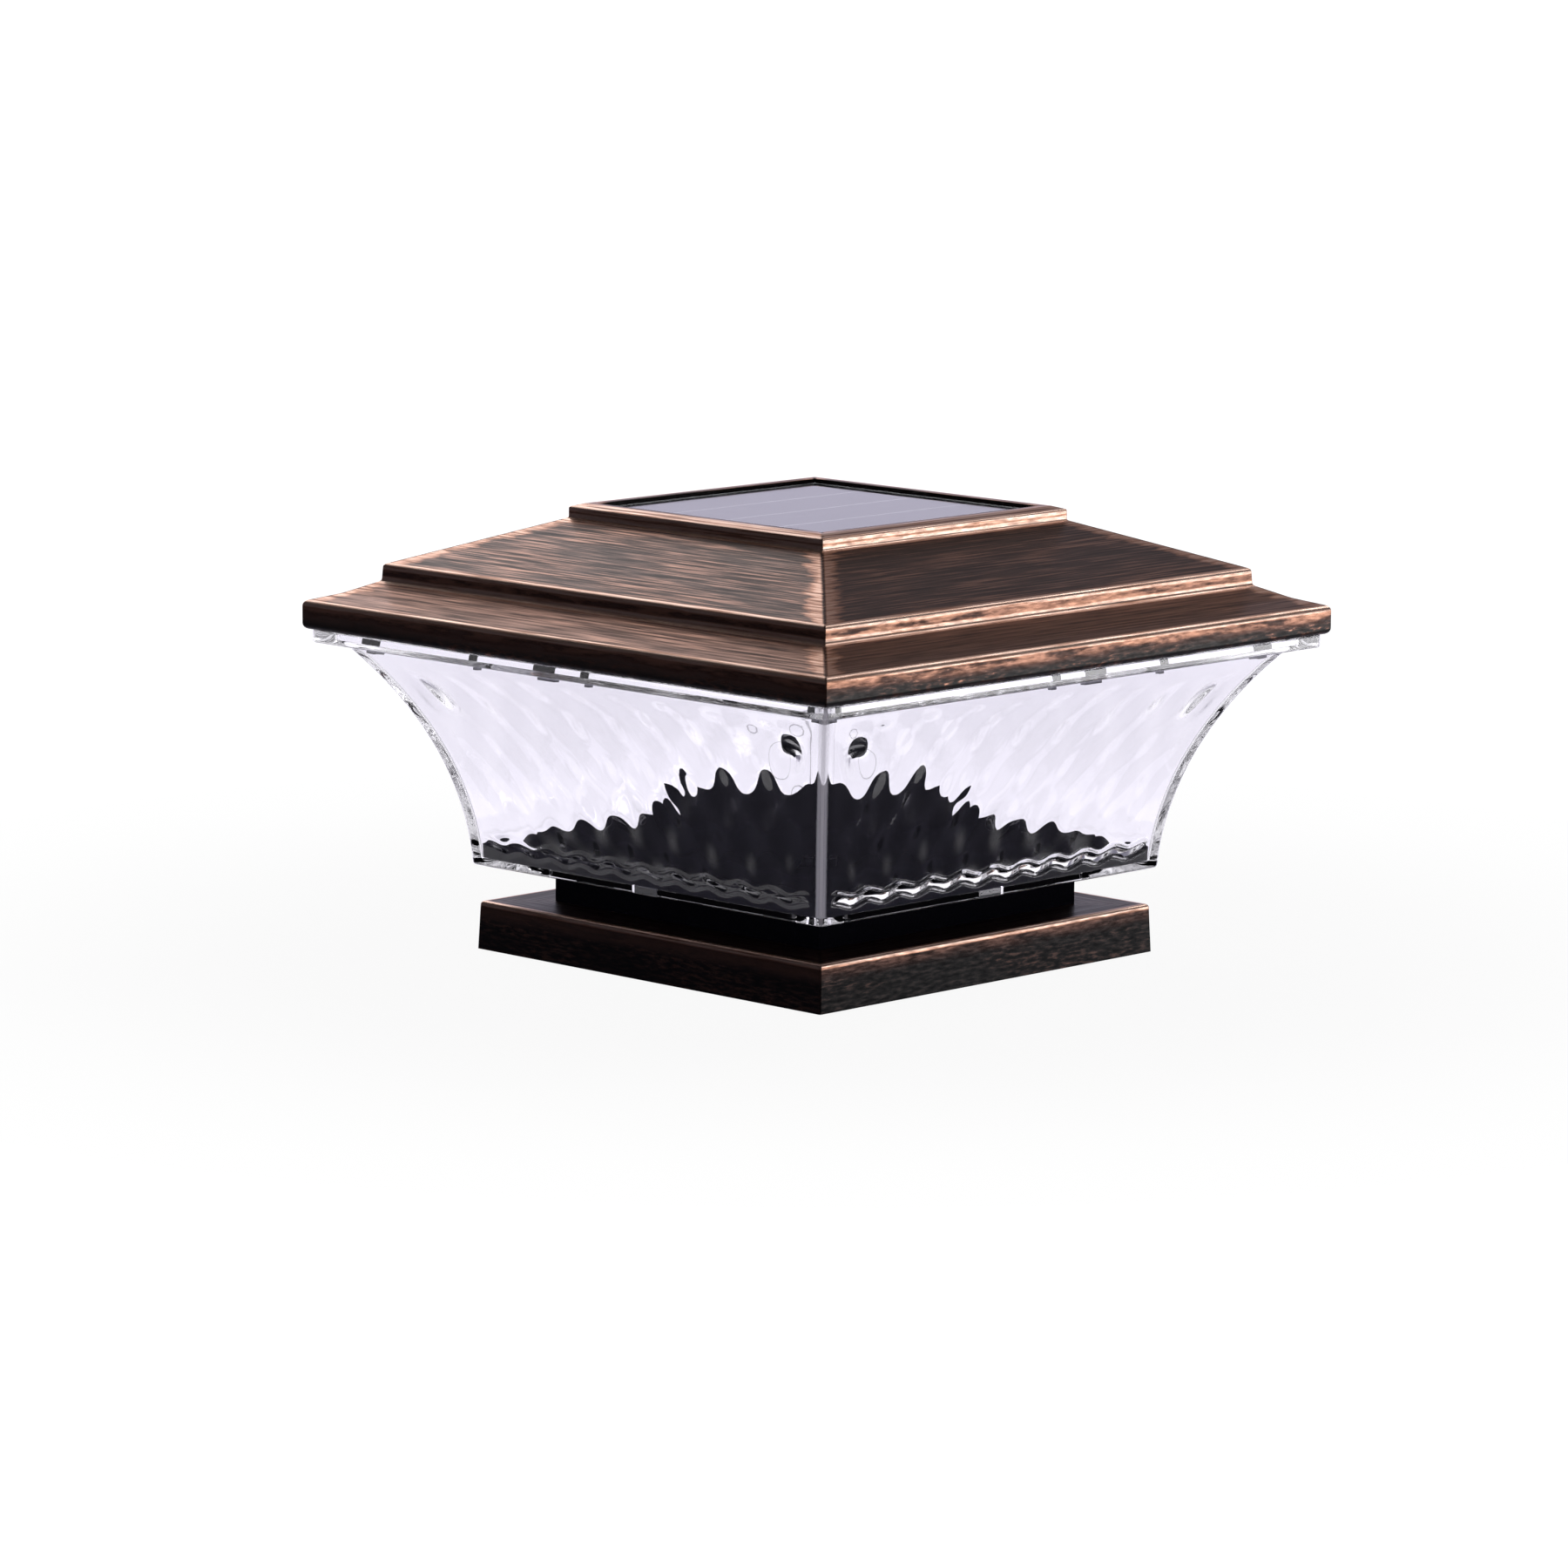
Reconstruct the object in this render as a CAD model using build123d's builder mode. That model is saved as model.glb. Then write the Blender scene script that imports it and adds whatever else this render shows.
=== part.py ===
from build123d import *
import os
from math import hypot, sqrt, tan, radians

os.makedirs("parts", exist_ok=True)

# A square solar light that caps a timber post, in millimetres.
# +Z is up, -Y is the front, and the origin is the middle of the base's bottom rim.

# Base skirt, dropped over the post
post_side = 89.0
post_clearance = 1.5
base_wall = 2.8
base_draft = 0.4
base_height = 9.9
base_edge_radius = 0.7
ledge_thickness = 2.5

# Neck between the base and the lens
neck_side = 75.0
neck_height = 7.6
neck_wall = 2.5
neck_web = 2.0

# Clear lens, a square flare with a floor, a rim under the eave and a spigot inside it
lens_bottom_side = 99.6
lens_height = 45.6
lens_sagitta = 4.1
lens_wall = 1.8
lens_floor = 1.6
rim_setback = 1.2
rim_overhang = 4.4
rim_thickness = 2.7
rim_step = 0.8
rim_edge_radius = 0.4
spigot_height = 3.2
spigot_wall = 1.8

# Black floor tray inside the lens: a square step, on it a square riser turned to face the corners,
# its own corners cut off, and clips through the lens floor
tray_clearance = 0.5
tray_height = 2.9
tray_skin = 1.8
tray_step_width = 79.0
tray_step_rise = 2.8
riser_width = 59.0
riser_corner_cut = 4.7
riser_turn = 45
riser_height = 6.2
riser_edge_radius = 1.0
tray_clip_width = 6.5
tray_clip_thickness = 1.4
tray_clip_clearance = 0.3

# Stepped roof
roof_side = 148.0
roof_wall = 2.2
eave_height = 5.7
eave_edge_radius = 1.2
cove_run = 11.4
cove_rise = 4.3
cove_sag = 0.45
cove_radius = 9.0
step_height = 3.3
step_draft = 0.2
step_edge_radius = 0.8
slope_rise = 9.8
frame_height = 2.2
frame_bevel = 2.3
frame_bevel_rise = 0.7
frame_edge_radius = 0.45
crest_width = 2.0

# Solar panel in the roof's frame
panel_side = 62.0
panel_clearance = 0.5
panel_depth = 0.8
cover_thickness = 1.2
cell_thickness = 0.3
panel_board_thickness = 1.0
gasket_thickness = 0.6
gasket_width = 4.0
strip_count = 4
strip_gap = 0.8
strip_margin = 1.6
seat_thickness = 2.0
lead_hole_radius = 4.0

# Ceiling plate under the roof, with ribs and clips that centre it in the lens mouth
ceiling_lift = 0.4
ceiling_thickness = 2.0
ceiling_clearance = 1.9
tab_drop = 4.5
tab_thickness = 1.2
tab_clearance = 0.6
rib_width = 1.2
clip_width = 5.0
clip_offset = 11.5
outer_rib_offset = 32.0
corner_post_side = 2.6
ceiling_screw_inset = 14.5

# Battery bay hanging from the ceiling plate
cell_diameter = 14.5
cell_length = 50.5
nub_length = 1.0
nub_radius = 2.7
cell_clearance = 0.5
bay_wall = 1.6
bay_drop = 5.0
bay_rise = 8.8
bay_y = 22.0
contact_thickness = 0.5
contact_width = 10.0
contact_tail = 2.2
spring_length = 6.0
spring_radius = 3.4
spring_wire = 0.8
spring_turns = 4

# Battery door, hinged along its back edge
door_thickness = 1.5
door_clearance = 0.4
barrel_radius = 1.2
barrel_lift = 0.4
hinge_setback = 2.4
hinge_tail = 0.6
stub_radius = 0.8
stub_length = 1.2
hinge_clearance = 0.06
door_grip_depth = 0.6
door_grip_width = 14.0
door_grip_reach = 1.5
door_grip_inset = 3.0

# Circuit board above the ceiling plate
board_length = 44.0
board_width = 34.0
board_thickness = 1.2
board_gap = 4.6
board_lift = 4.0
board_post_radius = 2.5
board_post_inset = 4.0
chip_x = 11.0
chip_setback = 5.7
chip_length = 5.0
chip_width = 4.0
chip_height = 1.5
inductor_x = -11.0
inductor_setback = 5.7
inductor_radius = 3.0
inductor_height = 5.0

# Light source in the middle of the ceiling
emitter_side = 3.5
emitter_height = 1.1
dome_radius = 6.3
dome_drop = 4.4
dome_wall = 1.2
dome_flange = 2.0
dome_flange_thickness = 1.2
dome_clearance = 0.2

# Slide switch on the underside of the board
switch_length = 8.6
switch_width = 4.0
switch_height = 3.4
switch_gap = 1.5
knob_length = 2.0
knob_width = 1.6
knob_travel = 2.0
knob_clearance = 0.3
knob_engagement = 0.9
knob_proud = 1.2

# Screws and leads
screw_radius = 1.4
screw_head_radius = 2.75
screw_head_height = 1.8
screw_clearance = 0.05
screw_hole_clearance = 0.2
screw_bite = 6.0
tray_screw_gap = 7.35
boss_radius = 4.0
roof_boss_radius = 3.2
roof_boss_bite = 0.8
countersink_angle = 90.0
drive_width = 0.7
drive_length = 3.0
drive_depth = 0.8
board_screw_radius = 1.0
board_screw_head_radius = 1.9
board_screw_head_height = 1.2
lead_radius = 0.6
lead_bend_share = 0.45
lead_gap = 2.0
panel_lead_spread = 5.5
panel_lead_setback = 6.8
battery_lead_setback = 8.5
cut_past = 1.0

# Heights, from the floor up
ledge_bottom = base_height - ledge_thickness
neck_top = base_height + neck_height
lens_bottom = neck_top
lens_floor_top = lens_bottom + lens_floor
tray_top = lens_floor_top + tray_height
tray_step_top = tray_top + tray_step_rise
riser_top = tray_step_top + riser_height
rim_bottom = lens_bottom + lens_height
rim_top = rim_bottom + rim_thickness
spigot_top = rim_top + spigot_height
eave_bottom = rim_top
eave_top = eave_bottom + eave_height
cove_top = eave_top + cove_rise
step_top = cove_top + step_height
slope_top = step_top + slope_rise
frame_top = slope_top + frame_height
crest = frame_top + frame_bevel_rise
cover_top = crest - panel_depth
cell_layer_top = cover_top - cover_thickness
panel_board_top = cell_layer_top - cell_thickness
panel_board_bottom = panel_board_top - panel_board_thickness
seat_top = panel_board_bottom - gasket_thickness
seat_bottom = seat_top - seat_thickness
ceiling_bottom = eave_bottom + ceiling_lift
ceiling_top = ceiling_bottom + ceiling_thickness
board_bottom = ceiling_top + board_lift
board_top = board_bottom + board_thickness

# Half widths, from the base up
socket_half = post_side / 2 + post_clearance
base_half = socket_half + base_wall
base_top_half = base_half - base_draft
lens_bottom_half = lens_bottom_side / 2
roof_half = roof_side / 2
rim_half = roof_half - rim_setback
lens_mouth_half = rim_half - rim_overhang
step_half = roof_half - cove_run
step_top_half = step_half - step_draft
panel_half = panel_side / 2
recess_half = panel_half + panel_clearance
crest_half = recess_half + crest_width
frame_half = crest_half + frame_bevel

# The lens wall is an arc in side view, bowed in from the straight line between its two ends
flare_run = lens_mouth_half - lens_bottom_half
flare_chord = hypot(flare_run, lens_height)
flare_radius = flare_chord**2 / (8 * lens_sagitta) + lens_sagitta / 2
flare_reach = flare_radius - lens_sagitta
flare_centre_half = (lens_bottom_half + lens_mouth_half) / 2 + flare_reach * lens_height / flare_chord
flare_centre_z = (lens_bottom + rim_bottom) / 2 - flare_reach * flare_run / flare_chord


def lens_half(z, inset=0.0):
    """Half width of the lens wall at a height, on the surface that lies inset from the outside."""
    return flare_centre_half - sqrt((flare_radius + inset) ** 2 - (z - flare_centre_z) ** 2)


def lens_wall_arc(bottom, top, inset=0.0):
    """The wall's arc between two heights."""
    heights = (bottom, (bottom + top) / 2, top)
    return ThreePointArc(*[(lens_half(z, inset), z) for z in heights])


spigot_inner_half = lens_half(rim_top, lens_wall)
spigot_outer_half = spigot_inner_half + spigot_wall
tray_half = lens_half(lens_floor_top, lens_wall) - tray_clearance
ceiling_half = spigot_inner_half - ceiling_clearance
riser_half = riser_width / 2
riser_reach = riser_width * sqrt(2) - 2 * riser_corner_cut

# The underside of the roof's skin follows its two slopes
cove_pitch = cove_rise / cove_run
slope_pitch = slope_rise / (step_top_half - frame_half)
slope_skin = roof_wall * hypot(1, slope_pitch)


def under_cove(half):
    return eave_top + (roof_half - half) * cove_pitch - cove_sag - roof_wall * hypot(1, cove_pitch)


def under_slope(half):
    return step_top + (step_top_half - half) * slope_pitch - slope_skin


def square_turned(draw_half_outline, reach):
    """A body whose four sides all follow one outline, drawn as half widths and heights."""
    with BuildPart() as turned:
        with BuildSketch(Plane.XZ):
            with BuildLine():
                draw_half_outline()
            make_face()
            mirror(about=Plane.YZ)
        extrude(amount=reach, both=True)
        with BuildSketch(Plane.YZ):
            with BuildLine():
                draw_half_outline()
            make_face()
            mirror(about=Plane.YZ)
        extrude(amount=reach, both=True, mode=Mode.INTERSECT)
    return turned.part


def corner_places(at):
    return [(x, y) for x in (-at, at) for y in (-at, at)]


def side_places(at):
    return [(at, 0), (-at, 0), (0, at), (0, -at)]


def pan_head_screws(places, seat, shank, radius, head_radius, head_height, head_side=1):
    """Cross-headed screws on a seat, with their heads above it, or below where head_side is -1."""
    head_face = seat + head_side * head_height
    with BuildPart() as screws:
        with BuildSketch(Plane.XY.offset(seat)):
            with Locations(*places):
                Circle(head_radius)
        extrude(amount=head_side * head_height)
        with BuildSketch(Plane.XY.offset(seat)):
            with Locations(*places):
                Circle(radius)
        extrude(amount=-head_side * shank)
        with BuildSketch(Plane.XY.offset(head_face)):
            with Locations(*places):
                Rectangle(drive_length * head_radius / screw_head_radius, drive_width)
                Rectangle(drive_width, drive_length * head_radius / screw_head_radius)
        extrude(amount=-head_side * drive_depth, mode=Mode.SUBTRACT)
    return screws


def lead(points):
    """An insulated wire along a route of straight runs and wide bends."""
    runs = [Vector(b) - Vector(a) for a, b in zip(points, points[1:])]
    bends = []
    for before, after in zip(runs, runs[1:]):
        half_turn = radians(before.get_angle(after) / 2)
        bends.append(lead_bend_share * min(before.length, after.length) / tan(half_turn))
    with BuildPart() as wire:
        with BuildLine() as route:
            FilletPolyline(*points, radius=bends)
        with BuildSketch(Plane(origin=route.line @ 0, z_dir=route.line % 0)):
            Circle(lead_radius)
        sweep(path=route.line)
    return wire


# Base sleeve: a drafted skirt with a ledge across its top and countersunk screw holes
tray_screw_at = (riser_half + screw_head_radius + tray_screw_gap) / sqrt(2)
base_screw_places = side_places(tray_screw_at)
tray_screw_places = corner_places(tray_screw_at)
screw_hole_radius = screw_radius + screw_hole_clearance
pilot_radius = screw_radius + screw_clearance


def base_outline():
    FilletPolyline(
        (0, 0),
        (base_half, 0),
        (base_top_half, base_height),
        (0, base_height),
        radius=[0, base_edge_radius],
    )
    Line((0, base_height), (0, 0))


base_block = square_turned(base_outline, roof_side)
with BuildPart() as base_sleeve:
    add(base_block)
    with BuildSketch(Plane.XY.offset(ledge_bottom)):
        Rectangle(2 * socket_half, 2 * socket_half)
    extrude(amount=-(ledge_bottom + cut_past), mode=Mode.SUBTRACT)
    for x, y in base_screw_places:
        with Locations(Plane(origin=(x, y, ledge_bottom), z_dir=(0, 0, -1))):
            CounterSinkHole(
                screw_hole_radius,
                screw_head_radius,
                depth=ledge_thickness + cut_past,
                counter_sink_angle=countersink_angle,
            )
base_sleeve.part.label = "base_sleeve"
export_step(base_sleeve.part, "parts/base_sleeve.step")

# Base screws: countersunk, flush with the underside of the ledge
sunk_head_radius = screw_head_radius - screw_hole_clearance
sink_depth = (sunk_head_radius - screw_radius) / tan(radians(countersink_angle / 2))
base_screw_tip = base_height + neck_web + screw_bite / 2
with BuildPart() as base_screws:
    with Locations(*[(x, y, ledge_bottom) for x, y in base_screw_places]):
        Cone(
            sunk_head_radius,
            screw_radius,
            sink_depth,
            align=(Align.CENTER, Align.CENTER, Align.MIN),
        )
    with BuildSketch(Plane.XY.offset(ledge_bottom)):
        with Locations(*base_screw_places):
            Circle(screw_radius)
    extrude(amount=base_screw_tip - ledge_bottom)
    with BuildSketch(Plane.XY.offset(ledge_bottom)):
        with Locations(*base_screw_places):
            Rectangle(drive_length, drive_width)
            Rectangle(drive_width, drive_length)
    extrude(amount=drive_depth, mode=Mode.SUBTRACT)
base_screws.part.label = "base_screws"
export_step(base_screws.part, "parts/base_screws.step")

# Neck collar: a square tube with a web at its foot and a boss for each screw
neck_inner = neck_side - 2 * neck_wall
tray_pilot_depth = screw_bite - lens_floor
with BuildPart() as neck_collar:
    with BuildSketch(Plane.XY.offset(base_height)):
        Rectangle(neck_side, neck_side)
    extrude(amount=neck_height)
    with BuildSketch(Plane.XY.offset(base_height + neck_web)):
        Rectangle(neck_inner, neck_inner)
    extrude(amount=neck_height, mode=Mode.SUBTRACT)
    with BuildSketch(Plane.XY.offset(base_height)):
        with Locations(*base_screw_places, *tray_screw_places):
            Circle(boss_radius)
    extrude(amount=neck_height)
    with BuildSketch(Plane.XY.offset(base_height)):
        with Locations(*base_screw_places):
            Circle(pilot_radius)
    extrude(amount=base_screw_tip - base_height + cut_past, mode=Mode.SUBTRACT)
    with BuildSketch(Plane.XY.offset(neck_top)):
        with Locations(*tray_screw_places):
            Circle(pilot_radius)
    extrude(amount=-(tray_pilot_depth + cut_past), mode=Mode.SUBTRACT)
neck_collar.part.label = "neck_collar"
export_step(neck_collar.part, "parts/neck_collar.step")

# Lens: outside and inside are arcs of one centre, so the wall is even up to the rim, and the
# floor is a flange that stands on the neck, open over the neck's bore
tray_clip_at = tray_half - tray_clip_thickness
tray_clip_slot_width = tray_clip_width + 2 * tray_clip_clearance
tray_clip_slot_depth = tray_clip_thickness + 2 * tray_clip_clearance


def lens_outline():
    lens_wall_arc(lens_bottom, rim_bottom)
    FilletPolyline(
        (lens_mouth_half, rim_bottom),
        (rim_half, rim_bottom),
        (rim_half, rim_top),
        (spigot_outer_half, rim_top),
        (spigot_outer_half, spigot_top),
        (0, spigot_top),
        radius=[rim_edge_radius, 0, 0, rim_edge_radius],
    )
    Polyline((0, spigot_top), (0, lens_bottom), (lens_bottom_half, lens_bottom))


def lens_hollow_outline():
    lens_wall_arc(lens_floor_top, rim_bottom, lens_wall)
    Polyline(
        (lens_half(rim_bottom, lens_wall), rim_bottom),
        (spigot_inner_half, rim_bottom + rim_step),
        (spigot_inner_half, spigot_top + cut_past),
        (0, spigot_top + cut_past),
        (0, lens_floor_top),
        (lens_half(lens_floor_top, lens_wall), lens_floor_top),
    )


lens_block = square_turned(lens_outline, roof_side)
lens_hollow = square_turned(lens_hollow_outline, roof_side)
with BuildPart() as lens:
    add(lens_block)
    add(lens_hollow, mode=Mode.SUBTRACT)
    with BuildSketch(Plane.XY.offset(lens_floor_top)):
        Rectangle(neck_inner, neck_inner)
        with Locations(*tray_screw_places):
            Circle(boss_radius + tray_clip_clearance)
        with PolarLocations(tray_clip_at + tray_clip_thickness / 2, 4):
            Rectangle(tray_clip_slot_depth, tray_clip_slot_width)
    extrude(amount=-(lens_floor + cut_past), mode=Mode.SUBTRACT)
lens.part.label = "lens"
export_step(lens.part, "parts/lens.step")

# Floor tray: a shallow tray upside down, its riser hollow, its clips through the lens floor and
# its bosses down through the floor's opening onto the neck
tray_inner = 2 * (tray_half - tray_skin)
step_inner = tray_step_width - 2 * tray_skin
riser_inner_width = riser_width - 2 * tray_skin
riser_inner_reach = riser_reach - 2 * tray_skin
with BuildPart() as floor_tray:
    with BuildSketch(Plane.XY.offset(lens_floor_top)):
        Rectangle(2 * tray_half, 2 * tray_half)
    extrude(amount=tray_height)
    with BuildSketch(Plane.XY.offset(tray_top)):
        Rectangle(tray_step_width, tray_step_width)
    extrude(amount=tray_step_rise)
    fillet(floor_tray.edges().group_by(Axis.Z)[-1], riser_edge_radius)
    with BuildSketch(Plane.XY.offset(tray_top)):
        Rectangle(riser_width, riser_width, rotation=riser_turn)
        Rectangle(riser_reach, riser_reach, mode=Mode.INTERSECT)
    extrude(amount=riser_top - tray_top)
    fillet(floor_tray.edges().group_by(Axis.Z)[-1], riser_edge_radius)
    with BuildSketch(Plane.XY.offset(lens_floor_top)):
        Rectangle(tray_inner, tray_inner)
    extrude(amount=tray_height - tray_skin, mode=Mode.SUBTRACT)
    with BuildSketch(Plane.XY.offset(lens_floor_top)):
        Rectangle(step_inner, step_inner)
    extrude(amount=tray_step_top - lens_floor_top - tray_skin, mode=Mode.SUBTRACT)
    with BuildSketch(Plane.XY.offset(lens_floor_top)):
        Rectangle(riser_inner_width, riser_inner_width, rotation=riser_turn)
        Rectangle(riser_inner_reach, riser_inner_reach, mode=Mode.INTERSECT)
    extrude(amount=riser_top - lens_floor_top - tray_skin, mode=Mode.SUBTRACT)
    with BuildSketch(Plane.XY.offset(lens_bottom)):
        with Locations(*tray_screw_places):
            Circle(boss_radius)
    extrude(amount=tray_step_top - lens_bottom)
    with BuildSketch(Plane.XY.offset(tray_top)):
        with PolarLocations(tray_clip_at + tray_clip_thickness / 2, 4):
            Rectangle(tray_clip_thickness, tray_clip_width)
    extrude(amount=-(tray_height + lens_floor))
    with BuildSketch(Plane.XY.offset(lens_bottom)):
        with Locations(*tray_screw_places):
            Circle(screw_hole_radius)
    extrude(amount=tray_step_top - lens_bottom + cut_past, mode=Mode.SUBTRACT)
floor_tray.part.label = "floor_tray"
export_step(floor_tray.part, "parts/floor_tray.step")

# Tray screws: down through the tray's bosses into the neck
tray_shank = tray_step_top - lens_bottom + tray_pilot_depth
tray_screws = pan_head_screws(
    tray_screw_places, tray_step_top, tray_shank, screw_radius, screw_head_radius, screw_head_height
)
tray_screws.part.label = "tray_screws"
export_step(tray_screws.part, "parts/tray_screws.step")

# Roof shell: eave, cove, step, slope and panel frame outside, an even skin inside
ceiling_screw_at = ceiling_half - ceiling_screw_inset
ceiling_screw_places = corner_places(ceiling_screw_at)
roof_boss_top = under_slope(ceiling_screw_at) + roof_boss_bite
roof_inner_half = roof_half - roof_wall
step_inner_half = step_half - roof_wall
seat_reach = step_top_half - (seat_bottom - step_top + slope_skin) / slope_pitch
cove_middle = (roof_half - cove_run / 2, eave_top + cove_rise / 2 - cove_sag)
bay_width = cell_diameter + 2 * cell_clearance
bay_front = bay_y - bay_width / 2 - bay_wall
board_y = bay_front - board_gap - board_width / 2
lead_hole_place = (0, board_y)


def roof_outline():
    FilletPolyline(
        (0, eave_bottom),
        (roof_half, eave_bottom),
        (roof_half, eave_top),
        cove_middle,
        (step_half, cove_top),
        (step_top_half, step_top),
        (frame_half, slope_top),
        (frame_half, frame_top),
        (crest_half, crest),
        (0, crest),
        radius=[
            eave_edge_radius,
            eave_edge_radius,
            cove_radius,
            step_edge_radius,
            step_edge_radius,
            frame_edge_radius,
            frame_edge_radius,
            frame_edge_radius,
        ],
    )
    Line((0, crest), (0, eave_bottom))


def roof_hollow_outline():
    Polyline(
        (0, eave_bottom - cut_past),
        (roof_inner_half, eave_bottom - cut_past),
        (roof_inner_half, under_cove(roof_inner_half)),
        (step_inner_half, under_cove(step_inner_half)),
        (step_inner_half, under_slope(step_inner_half)),
        (seat_reach, seat_bottom),
        (0, seat_bottom),
        (0, eave_bottom - cut_past),
    )


roof_block = square_turned(roof_outline, roof_side)
roof_hollow = square_turned(roof_hollow_outline, roof_side)
with BuildPart() as roof_shell:
    add(roof_block)
    add(roof_hollow, mode=Mode.SUBTRACT)
    with BuildSketch(Plane.XY.offset(seat_top)):
        Rectangle(2 * recess_half, 2 * recess_half)
    extrude(amount=crest - seat_top + cut_past, mode=Mode.SUBTRACT)
    with BuildSketch(Plane.XY.offset(seat_top)):
        with Locations(lead_hole_place):
            Circle(lead_hole_radius)
    extrude(amount=-(seat_thickness + cut_past), mode=Mode.SUBTRACT)
    with BuildSketch(Plane.XY.offset(ceiling_top)):
        with Locations(*ceiling_screw_places):
            Circle(roof_boss_radius)
    extrude(amount=roof_boss_top - ceiling_top)
    with BuildSketch(Plane.XY.offset(ceiling_top)):
        with Locations(*ceiling_screw_places):
            Circle(pilot_radius)
    extrude(amount=screw_bite + cut_past, mode=Mode.SUBTRACT)
roof_shell.part.label = "roof_shell"
export_step(roof_shell.part, "parts/roof_shell.step")

# Solar panel: foam gasket, backing board, cell strips and clear cover, stacked on the seat
with BuildPart() as panel_gasket:
    with BuildSketch(Plane.XY.offset(seat_top)):
        Rectangle(panel_side, panel_side)
        Rectangle(panel_side - 2 * gasket_width, panel_side - 2 * gasket_width, mode=Mode.SUBTRACT)
    extrude(amount=gasket_thickness)
panel_gasket.part.label = "panel_gasket"
export_step(panel_gasket.part, "parts/panel_gasket.step")

with BuildPart() as panel_board:
    with BuildSketch(Plane.XY.offset(panel_board_bottom)):
        Rectangle(panel_side, panel_side)
    extrude(amount=panel_board_thickness)
panel_board.part.label = "panel_board"
export_step(panel_board.part, "parts/panel_board.step")

cell_field = panel_side - 2 * strip_margin
strip_pitch = (cell_field + strip_gap) / strip_count
with BuildPart() as solar_cells:
    with BuildSketch(Plane.XY.offset(panel_board_top)):
        with GridLocations(strip_pitch, 0, strip_count, 1):
            Rectangle(strip_pitch - strip_gap, cell_field)
    extrude(amount=cell_thickness)
solar_cells.part.label = "solar_cells"
export_step(solar_cells.part, "parts/solar_cells.step")

with BuildPart() as panel_cover:
    with BuildSketch(Plane.XY.offset(cell_layer_top)):
        Rectangle(panel_side, panel_side)
    extrude(amount=cover_thickness)
panel_cover.part.label = "panel_cover"
export_step(panel_cover.part, "parts/panel_cover.step")

# Battery bay places: the cell lies along X, its nub at the +X end
bay_length = cell_length + spring_length + 2 * contact_thickness
bay_half_length = bay_length / 2
bay_bottom = ceiling_bottom - bay_drop
bay_top = ceiling_top + bay_rise
cell_z = bay_bottom + door_thickness + cell_clearance + cell_diameter / 2
cell_plus_x = bay_half_length - contact_thickness
cell_minus_x = cell_plus_x - cell_length
hinge_y = bay_y + bay_width / 2 - hinge_setback
hinge_z = bay_bottom + barrel_lift + barrel_radius

# Ceiling plate: ribs and clips lie at uneven places, mirrored about the front corner's diagonal
tab_bottom = ceiling_bottom - tab_drop
tab_outer = lens_half(tab_bottom, lens_wall) - tab_clearance
tab_at = tab_outer - tab_thickness / 2
corner_post_at = tab_outer - corner_post_side / 2
board_post_x = board_length / 2 - board_post_inset
board_post_y = board_width / 2 - board_post_inset
board_screw_places = [
    (x, board_y + y) for x in (-board_post_x, board_post_x) for y in (-board_post_y, board_post_y)
]
switch_x = -board_post_x + board_post_radius + switch_gap + switch_length / 2
switch_y = board_y - board_post_y
slot_length = knob_length + knob_travel + 2 * knob_clearance
slot_width = knob_width + 2 * knob_clearance
tabs = [(0, rib_width), (-clip_offset, clip_width), (-outer_rib_offset, rib_width)]
with BuildPart() as ceiling_plate:
    with BuildSketch(Plane.XY.offset(ceiling_bottom)):
        Rectangle(2 * ceiling_half, 2 * ceiling_half)
    extrude(amount=ceiling_thickness)
    with BuildSketch(Plane.XY.offset(ceiling_bottom)):
        for along, width in tabs:
            with Locations((along, -tab_at), (-along, tab_at)):
                Rectangle(width, tab_thickness)
            with Locations((tab_at, -along), (-tab_at, along)):
                Rectangle(tab_thickness, width)
        with Locations(*corner_places(corner_post_at)):
            Rectangle(corner_post_side, corner_post_side)
    extrude(amount=-tab_drop)
    with BuildSketch(Plane.XY.offset(bay_bottom)):
        with Locations((0, bay_y)):
            Rectangle(bay_length + 2 * bay_wall, bay_width + 2 * bay_wall)
    extrude(amount=bay_top - bay_bottom)
    with BuildSketch(Plane.XY.offset(bay_bottom - cut_past)):
        with Locations((0, bay_y)):
            Rectangle(bay_length, bay_width)
    extrude(amount=bay_top - bay_bottom + 2 * cut_past, mode=Mode.SUBTRACT)
    with Locations((0, hinge_y, hinge_z)):
        Cylinder(
            stub_radius + hinge_clearance,
            bay_length + 2 * (bay_wall + cut_past),
            rotation=(0, 90, 0),
            mode=Mode.SUBTRACT,
        )
    with BuildSketch(Plane.XY.offset(ceiling_top)):
        with Locations(*board_screw_places):
            Circle(board_post_radius)
    extrude(amount=board_lift)
    with BuildSketch(Plane.XY.offset(board_bottom)):
        with Locations(*board_screw_places):
            Circle(board_screw_radius + screw_clearance)
    extrude(amount=-board_lift, mode=Mode.SUBTRACT)
    with BuildSketch(Plane.XY.offset(ceiling_top)):
        Circle(dome_radius + dome_clearance)
        with Locations((switch_x, switch_y)):
            Rectangle(slot_length, slot_width)
        with Locations(*ceiling_screw_places):
            Circle(screw_hole_radius)
    extrude(amount=-(ceiling_thickness + cut_past), mode=Mode.SUBTRACT)
ceiling_plate.part.label = "ceiling_plate"
export_step(ceiling_plate.part, "parts/ceiling_plate.step")

# Ceiling screws: up through the plate into the roof's bosses
ceiling_screws = pan_head_screws(
    ceiling_screw_places,
    ceiling_bottom,
    ceiling_thickness + screw_bite,
    screw_radius,
    screw_head_radius,
    screw_head_height,
    head_side=-1,
)
ceiling_screws.part.label = "ceiling_screws"
export_step(ceiling_screws.part, "parts/ceiling_screws.step")

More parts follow.
